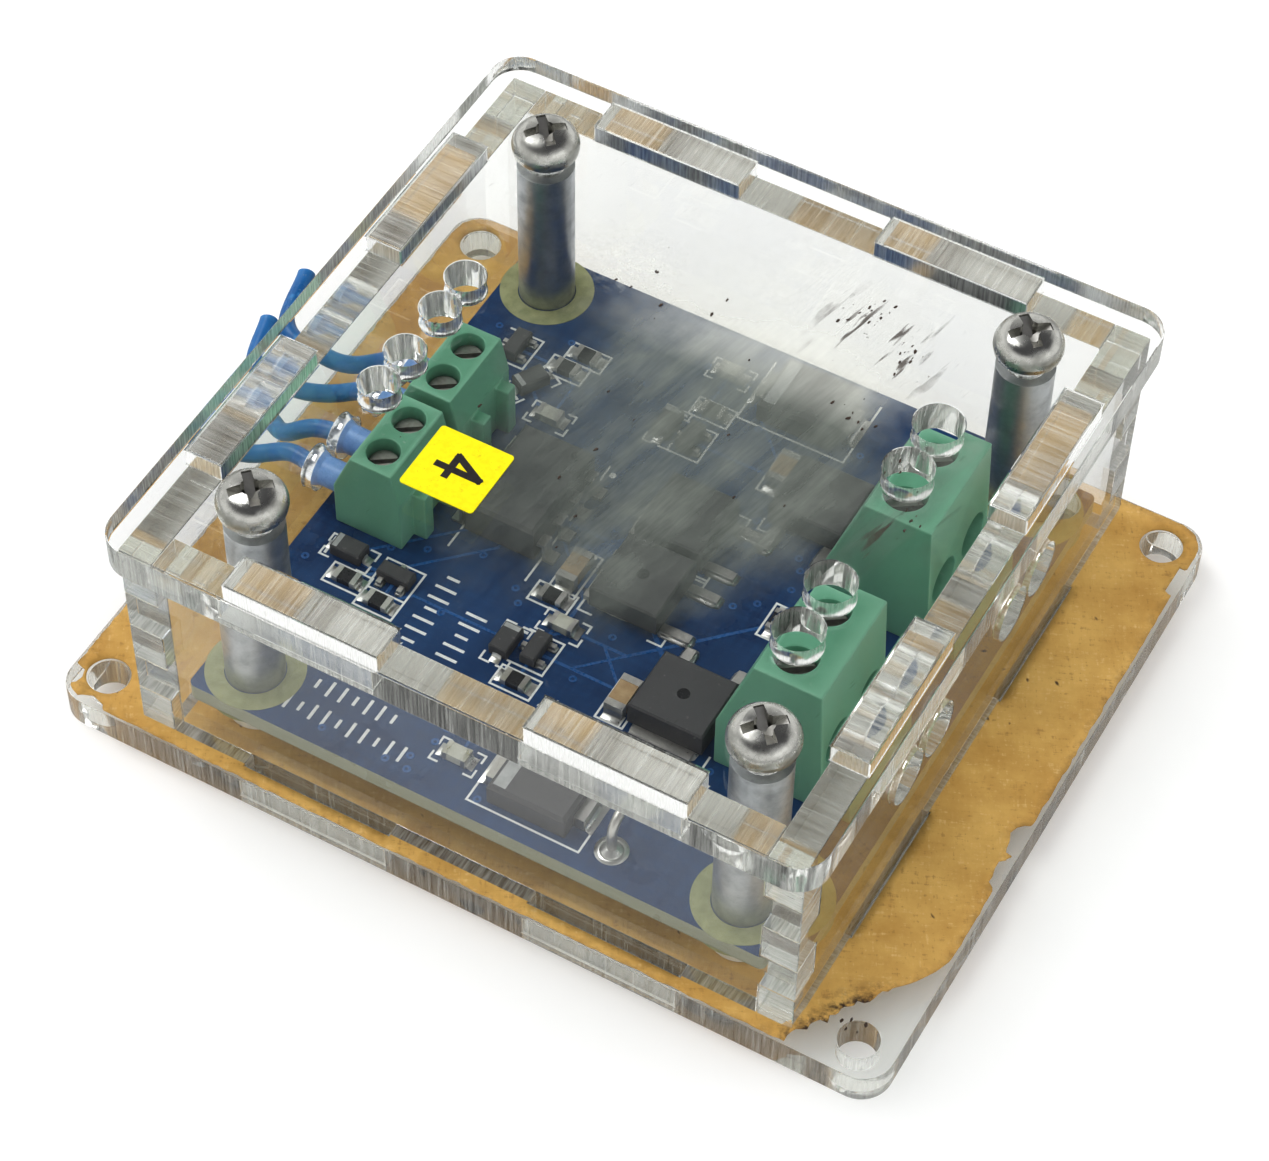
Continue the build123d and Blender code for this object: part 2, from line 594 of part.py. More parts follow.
save(chips(DIODE_SPOTS, 2.7, 1.6, 1.1, 0.05, 0.1), "diodes")
save(chips(RESISTOR_SPOTS, 2.0, 1.25, 0.55), "chip_resistors")
save(chips(CAPACITOR_SPOTS, 3.2, 1.6, 1.25), "chip_capacitors")
save(chips(LED_SPOTS, 2.0, 1.25, 0.8), "indicator_leds")

link_low = Z_BOARD_UNDER - 0.8
link_top = Z_BOARD + 3.4
link_start, link_end = LINK_SPOTS
with BuildPart() as wire_link:
    with BuildLine():
        bend = FilletPolyline(
            (*link_start, link_low),
            (*link_start, link_top),
            (*link_end, link_top),
            (*link_end, link_low),
            radius=1.4,
        )
    with BuildSketch(Plane(origin=bend @ 0, z_dir=bend % 0)):
        Circle(LINK_R)
    sweep()
save(wire_link, "wire_link")

# =============================================================================
# Signal wires on the input terminals
# =============================================================================
Z_WIRE = Z_BOARD + INPUT_ENTRY_Z
WIRE_R = 0.75
FERRULE_R = 0.72
FERRULE_BORE_R = 0.5
COLLAR_R = 1.25
COLLAR_MOUTH_R = 1.5
COLLAR_END_X = -26.3
COLLAR_INNER_X = INPUT_X - 3.2  # just inside the terminal's mouth
COLLAR_WALL = 0.25
COLLAR_FLARE = 0.6  # length of the flared mouth
COLLAR_BORE_R = WIRE_R + 0.03
FERRULE_SEAT = 1.0  # how deep the ferrule sits in its collar
FERRULE_TIP_X = INPUT_X + 1.1
WIRE_SEAT = 1.4  # the wire ends this far inside the collar
WIRE_TAILS = [
    [(-31.0, -6.2, Z_WIRE), (-34.2, -7.4, Z_WIRE - 0.8), (-37.3, -9.2, Z_WIRE + 0.6)],
    [(-31.2, -3.0, Z_WIRE - 0.3), (-34.0, -3.2, Z_WIRE - 2.2), (-35.8, -2.0, Z_WIRE - 3.2)],
    [(-31.2, 1.0, Z_WIRE), (-36.4, -0.2, Z_WIRE + 0.6), (-38.4, 4.9, Z_WIRE + 1.4)],
    [(-31.6, 4.3, Z_WIRE), (-36.2, 4.4, Z_WIRE + 0.6), (-38.5, 10.8, Z_WIRE + 1.4)],
]

with BuildPart() as signal_wires:
    for y, tail in zip(INPUT_ROWS, WIRE_TAILS):
        with BuildLine():
            run = Spline(
                (COLLAR_INNER_X - WIRE_SEAT, y, Z_WIRE),
                (COLLAR_END_X, y, Z_WIRE),
                (-WALL_FACE, y, Z_WIRE),
                *tail,
                tangents=[(-1, 0, 0), Vector(*tail[-1]) - Vector(*tail[-2])],
            )
        with BuildSketch(Plane(origin=run @ 0, z_dir=run % 0)):
            Circle(WIRE_R)
        sweep()
save(signal_wires, "signal_wires")

with BuildPart() as wire_ferrules:
    with BuildSketch(Plane.YZ.offset(FERRULE_TIP_X)):
        with Locations(*[(y, Z_WIRE) for y in INPUT_ROWS]):
            Circle(FERRULE_R)
            Circle(FERRULE_BORE_R, mode=Mode.SUBTRACT)
    extrude(amount=COLLAR_INNER_X - FERRULE_SEAT + 0.1 - FERRULE_TIP_X)
save(wire_ferrules, "wire_ferrules")

with BuildPart() as ferrule_collars:
    for y in INPUT_ROWS:
        with BuildSketch(Plane(origin=(0, y, Z_WIRE))):
            with BuildLine():
                Polyline(
                    (COLLAR_INNER_X, FERRULE_R),
                    (COLLAR_INNER_X, COLLAR_R - COLLAR_WALL),
                    (COLLAR_INNER_X - COLLAR_WALL, COLLAR_R),
                    (COLLAR_END_X + COLLAR_FLARE, COLLAR_R),
                    (COLLAR_END_X, COLLAR_MOUTH_R),
                    (COLLAR_END_X, COLLAR_MOUTH_R - COLLAR_WALL),
                    (COLLAR_END_X + COLLAR_FLARE, COLLAR_BORE_R),
                    (COLLAR_INNER_X - FERRULE_SEAT, COLLAR_BORE_R),
                    (COLLAR_INNER_X - FERRULE_SEAT, FERRULE_R),
                    close=True,
                )
            make_face()
        revolve(axis=Axis((0, y, Z_WIRE), (1, 0, 0)))
save(ferrule_collars, "ferrule_collars")
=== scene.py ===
import random
from math import atan2, ceil, copysign, cos, dist, exp, pi, radians, sin, tau

import bmesh
import bpy
from mathutils import Matrix, Vector, noise
from mathutils.geometry import delaunay_2d_cdt


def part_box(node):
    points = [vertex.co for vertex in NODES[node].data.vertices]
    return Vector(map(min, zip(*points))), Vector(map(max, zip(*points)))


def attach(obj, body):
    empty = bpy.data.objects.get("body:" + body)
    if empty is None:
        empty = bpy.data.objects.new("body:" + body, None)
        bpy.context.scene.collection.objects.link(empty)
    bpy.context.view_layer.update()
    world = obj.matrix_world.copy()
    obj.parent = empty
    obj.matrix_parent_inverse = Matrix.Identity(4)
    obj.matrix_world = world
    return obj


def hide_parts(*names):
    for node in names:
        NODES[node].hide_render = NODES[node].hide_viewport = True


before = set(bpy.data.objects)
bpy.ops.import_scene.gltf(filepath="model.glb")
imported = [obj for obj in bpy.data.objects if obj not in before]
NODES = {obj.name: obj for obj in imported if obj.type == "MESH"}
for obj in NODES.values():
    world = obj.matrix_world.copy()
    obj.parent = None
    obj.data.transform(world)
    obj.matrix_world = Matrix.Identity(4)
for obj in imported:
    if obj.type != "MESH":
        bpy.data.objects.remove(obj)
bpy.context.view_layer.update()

MM = 0.001
ROOT = "enclosure"
rng = random.Random(7)

# --- places, all read from the frame ------------------------------------------
PLATE_LOW, PLATE_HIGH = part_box("base_plate")
BOARD_LOW, BOARD_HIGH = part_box("circuit_board")
LABEL_LOW, LABEL_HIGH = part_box("number_label")
Z_PLATE = PLATE_HIGH.z
Z_BOARD_UNDER, Z_BOARD = BOARD_LOW.z, BOARD_HIGH.z
Z_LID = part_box("lid")[1].z


# --- Node materials ------------------------------------------------------------
class Nodes:
    """The empty node tree of a world or material; its methods add nodes and return output sockets."""

    def __init__(self, owner):
        owner.use_nodes = True
        self.owner = owner
        self.tree = owner.node_tree
        self.tree.nodes.clear()

    def node(self, kind, values=None, **settings):
        made = self.tree.nodes.new(kind)
        for key, value in settings.items():
            setattr(made, key, value)
        for key, value in (values or {}).items():
            self.feed(made.inputs[key], value)
        return made

    def feed(self, socket, value):
        """Link or set an input; a colour is given without its alpha."""
        if isinstance(value, bpy.types.NodeSocket):
            self.tree.links.new(value, socket)
        else:
            socket.default_value = (*value, 1) if socket.type == "RGBA" else value

    def math(self, operation, a, b=0.0):
        return self.node("ShaderNodeMath", {0: a, 1: b}, operation=operation).outputs[0]

    def times(self, a, b):
        return self.math("MULTIPLY", a, b)

    def plus(self, a, b):
        return self.math("ADD", a, b)

    def larger(self, a, b):
        return self.math("MAXIMUM", a, b)

    def split(self, vector):
        return self.node("ShaderNodeSeparateXYZ", {0: vector}).outputs

    def mix_shader(self, share, a, b):
        return self.node("ShaderNodeMixShader", {0: share, 1: a, 2: b}).outputs[0]


class Shader(Nodes):
    """One material, with textures placed in the object's own coordinates."""

    def __init__(self, name):
        super().__init__(bpy.data.materials.new(name))
        self.place = self.node("ShaderNodeTexCoord").outputs["Object"]
        self.normal = self.node("ShaderNodeNewGeometry").outputs["Normal"]

    def blend(self, share, a, b):
        """Colour a where share is 0, colour b where it is 1."""
        return self.node("ShaderNodeMix", {0: share, 6: a, 7: b}, data_type="RGBA").outputs[2]

    def span(self, value, low, high, to_low=0.0, to_high=1.0):
        """Value mapped from low..high to to_low..to_high, held at the ends."""
        values = {0: value, 1: low, 2: high, 3: to_low, 4: to_high}
        return self.node("ShaderNodeMapRange", values, clamp=True).outputs[0]

    def mapped(self, centre=(0, 0, 0), turn=(0, 0, 0), size=(1, 1, 1)):
        """Coordinates with centre at zero, turned back, and size as one unit."""
        values = {"Vector": self.place, "Location": centre, "Rotation": turn, "Scale": size}
        return self.node("ShaderNodeMapping", values, vector_type="TEXTURE").outputs[0]

    def noise(self, size, detail=4.0, rough=0.55, place=None):
        """Noise with features about size metres across."""
        values = {"Vector": place or self.place, "Scale": 1 / size, "Detail": detail, "Roughness": rough}
        return self.node("ShaderNodeTexNoise", values).outputs["Fac"]

    def cells(self, size, place):
        """Distance to the nearest of many points scattered about size metres apart."""
        return self.node("ShaderNodeTexVoronoi", {"Vector": place, "Scale": 1 / size}).outputs["Distance"]

    def length(self, vector):
        return self.node("ShaderNodeVectorMath", {0: vector}, operation="LENGTH").outputs["Value"]

    def bump(self, height, distance, strength):
        values = {"Height": height, "Distance": distance, "Strength": strength}
        return self.node("ShaderNodeBump", values).outputs[0]

    def principled(self, **values):
        """A Principled BSDF; base_color=... sets its Base Color input, and so on."""
        inputs = {key.replace("_", " ").title().replace("Ior", "IOR"): values[key] for key in values}
        return self.node("ShaderNodeBsdfPrincipled", inputs).outputs[0]

    def done(self, surface):
        self.node("ShaderNodeOutputMaterial", {"Surface": surface})
        return self.owner


STREAK_TURN = radians(-12)  # the scuffs run almost front to back
SKIN = 0.2 * MM  # the rubbed layer is this near the lid's top face


def scuffs(s):
    """Haze share, haze colour with painted shade and painted light, and grime share on the lid's top, where
    it has been rubbed.
    """
    across, depth, height = s.split(s.place)
    top = s.span(height, Z_LID - 2 * SKIN, Z_LID - SKIN)
    upward = s.span(s.split(s.normal)[2], 0.5, 0.9)
    on_top = s.times(top, upward)

    def patch(centre, half_size, edge, wobble):
        """1 inside an oval along the streaks, fading to 0 at its uneven edge."""
        place = s.mapped((centre[0] * MM, centre[1] * MM, Z_LID), (0, 0, STREAK_TURN),
                         (half_size[0] * MM, half_size[1] * MM, 1))
        ragged = s.times(s.math("SUBTRACT", s.noise(wobble * MM, 5), 0.5), 0.9)
        return s.span(s.plus(s.length(place), ragged), 1.0, edge)

    def weighed(*pairs):
        """Sum of values, each times its weight."""
        total = 0.0
        for value, weight in pairs:
            total = s.plus(s.times(value, weight), total)
        return total

    along = s.mapped(turn=(0, 0, STREAK_TURN), size=(1, 8, 1))
    broad = s.span(s.noise(2.6 * MM, 3, 0.5, along), 0.34, 0.62)
    fine = s.span(s.noise(0.30 * MM, 3, 0.6, along), 0.30, 0.72)
    cloud = s.span(s.noise(6.0 * MM, 3, 0.5), 0.30, 0.60)
    # how rubbed the lid is: one large oval, thinner to the left and behind the board
    rubbed = s.plus(weighed((broad, 0.28), (cloud, 0.14), (fine, 0.06)), 0.49)
    rubbed = s.times(rubbed, s.span(across, -9 * MM, 1 * MM, 0.80, 1.0))
    haze = s.times(patch((2.6, 0.3), (17.4, 21.8), 0.55, 8.0), rubbed)
    haze = s.times(haze, s.span(depth, 9 * MM, 16 * MM, 1.0, 0.45))
    # a thin film over the output terminals, and streaks behind the board
    film = s.times(s.times(patch((17.0, 2.5), (8.5, 12.5), 0.3, 4.0), broad), 0.46)
    rear = s.times(patch((6.5, 15.5), (9.5, 9.0), 0.3, 4.0), weighed((fine, 0.25), (broad, 0.2)))
    # a speckled smudge at the rear left, and hair scratches everywhere
    speckle = s.span(s.noise(0.5 * MM, 5, 0.7), 0.35, 0.65)
    smudge = s.times(s.times(patch((-8.5, 13.5), (6.5, 4.6), 0.1, 1.6), speckle), 0.5)
    hair = s.span(s.noise(0.16 * MM, 2, 0.5, along), 0.68, 0.76, 0, 0.16)
    total = haze
    for other in (rear, smudge, hair, film):
        total = s.larger(total, other)

    dashes = s.mapped(turn=(0, 0, STREAK_TURN), size=(1, 7, 1))
    dash = s.span(s.noise(0.75 * MM, 2, 0.5, dashes), 0.62, 0.68)
    blot = s.span(s.noise(0.9 * MM, 4, 0.7), 0.67, 0.73)
    dirty = s.larger(patch((11.2, 15.6), (6.2, 7.0), 0.5, 3.0),
                   patch((21.0, 2.0), (2.6, 7.5), 0.4, 3.0))
    grime = s.times(s.times(s.larger(dash, blot), dirty), 0.85)

    # the haze colour is painted shade and painted light: dark over the chips, greyer to the rear, and white
    # over the back wall, standing in for what shows through the lid
    tone = s.blend(s.span(across, -9 * MM, 3 * MM), (0.066, 0.078, 0.070), (0.112, 0.126, 0.110))
    # painted shade at the front, painted light to the rear
    front_painted_shade = s.blend(0.5, tone, (0.03, 0.04, 0.04))
    rear_painted_light = s.blend(0.25, tone, (0.26, 0.29, 0.26))
    tone = s.blend(s.span(depth, -10 * MM, 7 * MM), front_painted_shade, rear_painted_light)
    tone = s.blend(weighed((fine, 0.16), (broad, 0.10), (cloud, 0.20)), tone, (0.30, 0.32, 0.29))
    tone = s.blend(s.span(depth, 7 * MM, 13 * MM), tone, (0.74, 0.75, 0.69))
    return s.times(total, on_top), tone, s.times(grime, on_top)


ACRYLIC_IOR = 1.49


def acrylic(name, axis, worn_with_painted_light=False):
    """Clear cast sheet whose faces lie across axis; its cut edges are ribbed and a little frosted."""
    s = Shader(name)
    facing = s.math("ABSOLUTE", s.split(s.normal)["XYZ".index(axis)])
    edge = s.span(facing, 0.9, 0.4)
    ribs = [6.0 if letter == axis else 0.22 for letter in "XYZ"]
    cut = s.noise(1.0 * MM, 3, 0.6, s.mapped(size=ribs))
    smear = s.noise(6 * MM, 4, 0.6)
    scratch = s.noise(0.4 * MM, 3, 0.5, s.mapped(turn=(0.3, 0.2, 0.7), size=(1, 14, 1)))
    relief = s.blend(edge, s.times(smear, 0.15), cut)
    bump = s.bump(relief, 0.03 * MM, 0.25)
    sheen = s.span(smear, 0.4, 0.7, 0.0, 0.02)
    rough = s.plus(s.times(edge, 0.07), sheen)
    clear = s.principled(
        base_color=s.blend(edge, (0.985, 0.99, 0.98), (0.955, 0.965, 0.935)),
        roughness=rough,
        ior=ACRYLIC_IOR,
        transmission_weight=1.0,
        normal=bump,
    )
    frost = s.node("ShaderNodeBsdfDiffuse", {"Color": (0.86, 0.87, 0.83), "Normal": bump}).outputs[0]
    lines = s.span(scratch, 0.72, 0.80, 0.0, 0.04)
    share = s.larger(s.times(edge, s.span(cut, 0.35, 0.7, 0.07, 0.32)), lines)
    body = s.mix_shader(share, clear, frost)
    if worn_with_painted_light:
        haze, tone, grime = scuffs(s)
        # the dust colour holds painted shade and painted light from under the lid, as well as the dust's own
        # tone
        dust = s.node("ShaderNodeBsdfDiffuse", {"Color": tone}).outputs[0]
        dirt = s.principled(base_color=(0.045, 0.028, 0.018), roughness=0.6)
        body = s.mix_shader(grime, s.mix_shader(haze, body, dust), dirt)
    # light that only passes on its way to other surfaces goes straight through
    path = s.node("ShaderNodeLightPath").outputs
    passing = s.node("ShaderNodeBsdfTransparent", {"Color": (0.90, 0.905, 0.895)}).outputs[0]
    through = s.larger(path["Is Shadow Ray"], path["Is Diffuse Ray"])
    return s.done(s.mix_shader(through, body, passing))


def kraft_paper():
    """Brown masking paper: long and short fibres, flecks, and scorched torn edges."""
    s = Shader("kraft_paper")
    cloudy = s.noise(5 * MM, 5, 0.6)
    fibre_a = s.noise(0.35 * MM, 4, 0.65, s.mapped(turn=(0, 0, 0.5), size=(1, 5, 1)))
    fibre_b = s.noise(0.30 * MM, 4, 0.65, s.mapped(turn=(0, 0, 2.0), size=(1, 6, 1)))
    fibres = s.times(s.plus(fibre_a, fibre_b), 0.5)
    tone = s.blend(s.span(cloudy, 0.35, 0.65), (0.50, 0.285, 0.070), (0.66, 0.415, 0.125))
    tone = s.blend(s.span(fibres, 0.56, 0.66, 0, 0.55), tone, (0.78, 0.56, 0.26))
    tone = s.blend(s.span(fibres, 0.44, 0.36, 0, 0.55), tone, (0.30, 0.16, 0.05))
    fleck = s.span(s.cells(1.5 * MM, s.mapped(turn=(0, 0, 0.9), size=(1, 2.2, 1))), 0.11, 0.06)
    fleck = s.times(fleck, s.span(s.noise(2.5 * MM, 2), 0.52, 0.56))
    tone = s.blend(fleck, tone, (0.10, 0.055, 0.025))
    scorch = s.node("ShaderNodeAttribute", attribute_name="scorch").outputs["Fac"]
    burnt = s.times(scorch, s.span(s.noise(0.9 * MM, 5, 0.7), 0.42, 0.60))
    tone = s.blend(burnt, tone, (0.045, 0.022, 0.012))
    relief = s.plus(fibres, s.times(cloudy, 0.6))
    return s.done(s.principled(
        base_color=tone, roughness=s.span(fibres, 0.3, 0.7, 0.95, 0.75), normal=s.bump(relief, 0.06 * MM, 0.8)
    ))


def moulding(name, dark, light, rough, grain, wear):
    """Moulded plastic: fine grain, faint flow marks, edges rubbed to the wear colour."""
    s = Shader(name)
    flow = s.noise(4 * MM, 3, 0.5, s.mapped(size=(1, 1, 3)))
    fine = s.noise(grain, 3, 0.6)
    tone = s.blend(s.span(flow, 0.3, 0.7), dark, light)
    pointed = s.span(s.node("ShaderNodeNewGeometry").outputs["Pointiness"], 0.52, 0.60)
    tone = s.blend(s.times(pointed, 0.6), tone, wear)
    dust = s.span(s.noise(0.5 * MM, 5, 0.7), 0.62, 0.72, 0.0, 0.25)
    tone = s.blend(dust, tone, (0.55, 0.54, 0.50))
    roughness = s.span(flow, 0.3, 0.7, rough - 0.07, rough + 0.07)
    roughness = s.plus(roughness, s.times(dust, 0.5))
    relief = s.bump(s.plus(fine, s.times(flow, 0.5)), 0.02 * MM, 0.5)
    return s.done(s.principled(base_color=tone, roughness=roughness, normal=relief))


def metal(name, tone, stain, rough, brush, grain=0.25 * MM):
    """Plated metal: brushed or turned along brush, with dull stains and scratches."""
    s = Shader(name)
    lines = s.noise(grain, 3, 0.6, s.mapped(size=brush))
    cloudy = s.noise(1.6 * MM, 5, 0.65)
    colour = s.blend(s.span(cloudy, 0.42, 0.66, 0.0, 0.5), tone, stain)
    colour = s.blend(s.span(lines, 0.6, 0.75, 0, 0.35), colour, tuple(min(1, 1.25 * c) for c in tone))
    roughness = s.plus(s.span(cloudy, 0.35, 0.7, rough, rough + 0.22), s.times(lines, 0.08))
    return s.done(s.principled(
        base_color=colour, metallic=1.0, roughness=roughness, normal=s.bump(lines, 0.012 * MM, 0.6)
    ))


def solder_mask():
    """Blue lacquer over copper on top and below; bare woven glass on the cut edges."""
    s = Shader("solder_mask")
    upright = s.span(s.math("ABSOLUTE", s.split(s.normal)[2]), 0.5, 0.7)
    cloudy = s.noise(7 * MM, 4, 0.55)
    weave = s.times(s.noise(0.5 * MM, 2, 0.5, s.mapped(size=(1, 8, 1))),
                   s.noise(0.5 * MM, 2, 0.5, s.mapped(size=(8, 1, 1))))
    blue = s.blend(s.span(cloudy, 0.35, 0.65), (0.004, 0.031, 0.105), (0.007, 0.050, 0.155))
    blue = s.blend(s.span(weave, 0.2, 0.42, 0, 0.25), blue, (0.02, 0.10, 0.27))
    layers = s.noise(0.4 * MM, 3, 0.6, s.mapped(size=(6, 6, 1)))
    glass = s.blend(layers, (0.19, 0.21, 0.14), (0.33, 0.34, 0.25))
    dust = s.span(s.noise(0.35 * MM, 5, 0.7), 0.68, 0.76, 0.0, 0.25)
    tone = s.blend(dust, s.blend(upright, glass, blue), (0.5, 0.52, 0.55))
    rough = s.plus(s.span(cloudy, 0.3, 0.7, 0.24, 0.38), dust)
    return s.done(s.principled(
        base_color=tone, roughness=rough, normal=s.bump(weave, 0.03 * MM, 0.5), specular_ior_level=0.3
    ))


def plain(name, tone_a, tone_b, rough, size=0.8 * MM, depth=0.015 * MM, **more):
    """Two close tones mottled at the given size, with matching relief."""
    s = Shader(name)
    mottle = s.noise(size, 4, 0.6)
    fine = s.noise(size / 5, 3, 0.6)
    tone = s.blend(s.span(mottle, 0.35, 0.65), tone_a, tone_b)
    roughness = s.span(fine, 0.3, 0.7, rough - 0.06, rough + 0.08)
    return s.done(s.principled(base_color=tone, roughness=roughness, normal=s.bump(fine, depth, 0.5), **more))


def pale_floor():
    """White paper sweep that looks greyer in mirror reflections, as a far floor would."""
    s = Shader("pale_floor")
    mottle = s.noise(40 * MM, 4, 0.6)
    path = s.node("ShaderNodeLightPath").outputs
    mirrored = s.times(path["Is Glossy Ray"], path["Is Reflection Ray"])
    tone = s.blend(s.span(mottle, 0.35, 0.65), (0.90, 0.90, 0.90), (0.92, 0.92, 0.92))
    return s.done(s.principled(base_color=s.blend(mirrored, tone, (0.42, 0.42, 0.42)), roughness=0.8))


def label_film():
    """Yellow film with fine dark specks of dirt."""
    s = Shader("yellow_label")
    mottle = s.noise(0.5 * MM, 4, 0.6)
    speck = s.span(s.noise(0.16 * MM, 3, 0.6), 0.68, 0.74, 0.0, 0.7)
    smut = s.span(s.noise(0.8 * MM, 4, 0.7), 0.62, 0.72, 0.0, 0.25)
    tone = s.blend(s.span(mottle, 0.35, 0.65), (0.82, 0.70, 0.001), (0.88, 0.79, 0.002))
    tone = s.blend(s.larger(speck, smut), tone, (0.16, 0.11, 0.01))
    return s.done(s.principled(
        base_color=tone, roughness=s.span(mottle, 0.3, 0.7, 0.36, 0.5), normal=s.bump(mottle, 0.01 * MM, 0.5),
        specular_ior_level=0.2,
    ))


M = {
    "lid": acrylic("acrylic_lid", "Z", worn_with_painted_light=True),
    "flat_sheet": acrylic("acrylic_flat", "Z"),
    "side_sheet": acrylic("acrylic_side", "X"),
    "end_sheet": acrylic("acrylic_end", "Y"),
    "paper": kraft_paper(),
    "label": label_film(),
    "ink": plain("black_ink", (0.008, 0.006, 0.006), (0.022, 0.018, 0.016), 0.4, 0.3 * MM),
    "screw": metal("screw_steel", (0.56, 0.56, 0.53), (0.20, 0.20, 0.18), 0.14, (1, 5, 1)),
    "standoff": metal("standoff_metal", (0.50, 0.52, 0.54), (0.24, 0.25, 0.27), 0.26, (6, 6, 1), 0.2 * MM),
    "nylon": plain("spacer_nylon", (0.70, 0.69, 0.63), (0.80, 0.79, 0.73), 0.5, subsurface_weight=0.1),
    "board": solder_mask(),
    "trace": plain("trace_mask", (0.012, 0.085, 0.26), (0.018, 0.110, 0.32), 0.28, 1.5 * MM),
    "silk": plain("silk_ink", (0.72, 0.74, 0.74), (0.86, 0.87, 0.86), 0.6, 0.4 * MM),
    "bare_ring": plain("bare_laminate", (0.26, 0.28, 0.13), (0.36, 0.37, 0.19), 0.45, 1.0 * MM),
    "green": moulding("green_housing", (0.082, 0.262, 0.160), (0.120, 0.350, 0.228), 0.42, 0.12 * MM,
                      (0.28, 0.55, 0.40)),
    "terminal_screw": metal("terminal_screw", (0.42, 0.41, 0.38), (0.13, 0.12, 0.10), 0.28, (5, 1, 1)),
    "clamp": metal("clamp_metal", (0.52, 0.50, 0.45), (0.28, 0.26, 0.22), 0.3, (1, 1, 5)),
    "tin": metal("tinned_metal", (0.62, 0.61, 0.58), (0.36, 0.35, 0.32), 0.24, (1, 1, 1), 0.5 * MM),
    "solder": metal("solder_alloy", (0.66, 0.66, 0.64), (0.42, 0.41, 0.38), 0.2, (1, 1, 1), 0.6 * MM),
    "black": moulding("black_moulding", (0.011, 0.011, 0.012), (0.022, 0.022, 0.024), 0.5, 0.08 * MM,
                      (0.08, 0.08, 0.085)),
    "dimple": plain("polished_mark", (0.014, 0.014, 0.015), (0.020, 0.020, 0.022), 0.22),
    "band": plain("grey_band", (0.30, 0.31, 0.31), (0.42, 0.43, 0.43), 0.5),
    "resistor": plain("resistor_body", (0.010, 0.010, 0.012), (0.022, 0.022, 0.025), 0.3),
    "capacitor": plain("capacitor_body", (0.36, 0.24, 0.12), (0.46, 0.33, 0.18), 0.38),
    "led": plain("led_lens", (0.70, 0.70, 0.60), (0.82, 0.82, 0.74), 0.2, transmission_weight=0.35),
    "wire": moulding("wire_insulation", (0.006, 0.100, 0.300), (0.010, 0.160, 0.420), 0.32, 0.3 * MM,
                     (0.05, 0.26, 0.55)),
    "collar": plain("collar_plastic", (0.16, 0.30, 0.62), (0.24, 0.40, 0.74), 0.3, subsurface_weight=0.15),
    "copper": metal("copper_strand", (0.72, 0.34, 0.16), (0.36, 0.15, 0.07), 0.3, (1, 1, 1)),
    "grime": plain("grime", (0.030, 0.018, 0.012), (0.075, 0.045, 0.030), 0.75, 0.2 * MM, 0.05 * MM),
    "floor": pale_floor(),
}


def dress(names, key):
    """Give CAD nodes one of the materials above."""
    for name in names:
        data = NODES[name].data
        data.materials.clear()
        data.materials.append(M[key])


def named(*starts):
    return [name for name in NODES if name.startswith(starts)]


SHEETS = ["lid", "base_plate", "left_wall", "right_wall", "front_wall", "back_wall"]
HOUSINGS = named("front_input", "rear_input", "front_output", "rear_output")

dress(["lid"], "lid")
dress(["base_plate"], "flat_sheet")
dress(["left_wall", "right_wall"], "side_sheet")
dress(["front_wall", "back_wall"], "end_sheet")
dress(["number_label"], "label")
dress(named("lid_screw") + ["base_screws"], "screw")
dress(["standoffs"], "standoff")
dress(["board_spacers"], "nylon")
dress(["circuit_board"], "board")
dress(HOUSINGS, "green")
dress(named("input_screw", "output_screw"), "terminal_screw")
dress(named("input_cage", "output_cage"), "clamp")
dress(["input_pins", "output_pins", "mosfet_tabs", "driver_leads", "suppressor_leads"], "tin")
dress(["transistor_leads", "wire_link", "wire_ferrules"], "tin")
dress(["mosfets", "gate_driver", "surge_suppressors", "transistors", "diodes"], "black")
dress(["chip_resistors"], "resistor")
dress(["chip_capacitors"], "capacitor")
dress(["indicator_leds"], "led")
dress(["signal_wires"], "wire")
dress(["ferrule_collars"], "collar")


# --- Soft edges on CAD nodes: modifiers only, the nodes' own meshes stay as packed ---
def soften(name, width, shrink=0.0):
    """Round a node's sharp edges to width, and draw its faces in by shrink."""
    node = NODES[name]
    weld = node.modifiers.new("weld", "WELD")
    weld.merge_threshold = 0.5e-6
    flat = node.modifiers.new("flat", "DECIMATE")
    flat.decimate_type = "DISSOLVE"
    flat.angle_limit = radians(0.5)
    bevel = node.modifiers.new("bevel", "BEVEL")
    bevel.width = width
    bevel.segments = 2
    bevel.limit_method = "ANGLE"
    bevel.angle_limit = radians(40)
    bevel.use_clamp_overlap = False
    if shrink:
        apart = node.modifiers.new("apart", "DISPLACE")
        apart.mid_level = 0.0
        apart.strength = -shrink


for name in SHEETS:
    soften(name, 0.10 * MM, 0.015 * MM)  # the gap keeps touching sheets from sharing a face
for name in HOUSINGS:
    soften(name, 0.14 * MM)


# --- Mesh helpers --------------------------------------------------------------
def shown(name, data):
    """A new object in the scene."""
    made = bpy.data.objects.new(name, data)
    bpy.context.scene.collection.objects.link(made)
    return made


def placed(name, mesh, material, body, smooth=False):
    """A new object from a finished bmesh, riding on a body."""
    data = bpy.data.meshes.new(name)
    mesh.to_mesh(data)
    mesh.free()
    data.polygons.foreach_set("use_smooth", [smooth] * len(data.polygons))
    data.materials.append(M[material])
    made = shown(name, data)
    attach(made, body)
    return made


def piece(name, mesh, material, body=ROOT, smooth=False):
    """A placed object made of closed solids, with every face turned outward."""
    bmesh.ops.recalc_face_normals(mesh, faces=mesh.faces)
    return placed(name, mesh, material, body, smooth)


def loft(mesh, rows, capped=True):
    """Faces between closed rows of vertices, and over the first and last row if capped."""
    for first, second in zip(rows, rows[1:]):
        for k, vert in enumerate(first):
            n = (k + 1) % len(first)
            mesh.faces.new((vert, first[n], second[n], second[k]))
    if capped:
        mesh.faces.new(rows[0][::-1])
        mesh.faces.new(rows[-1])


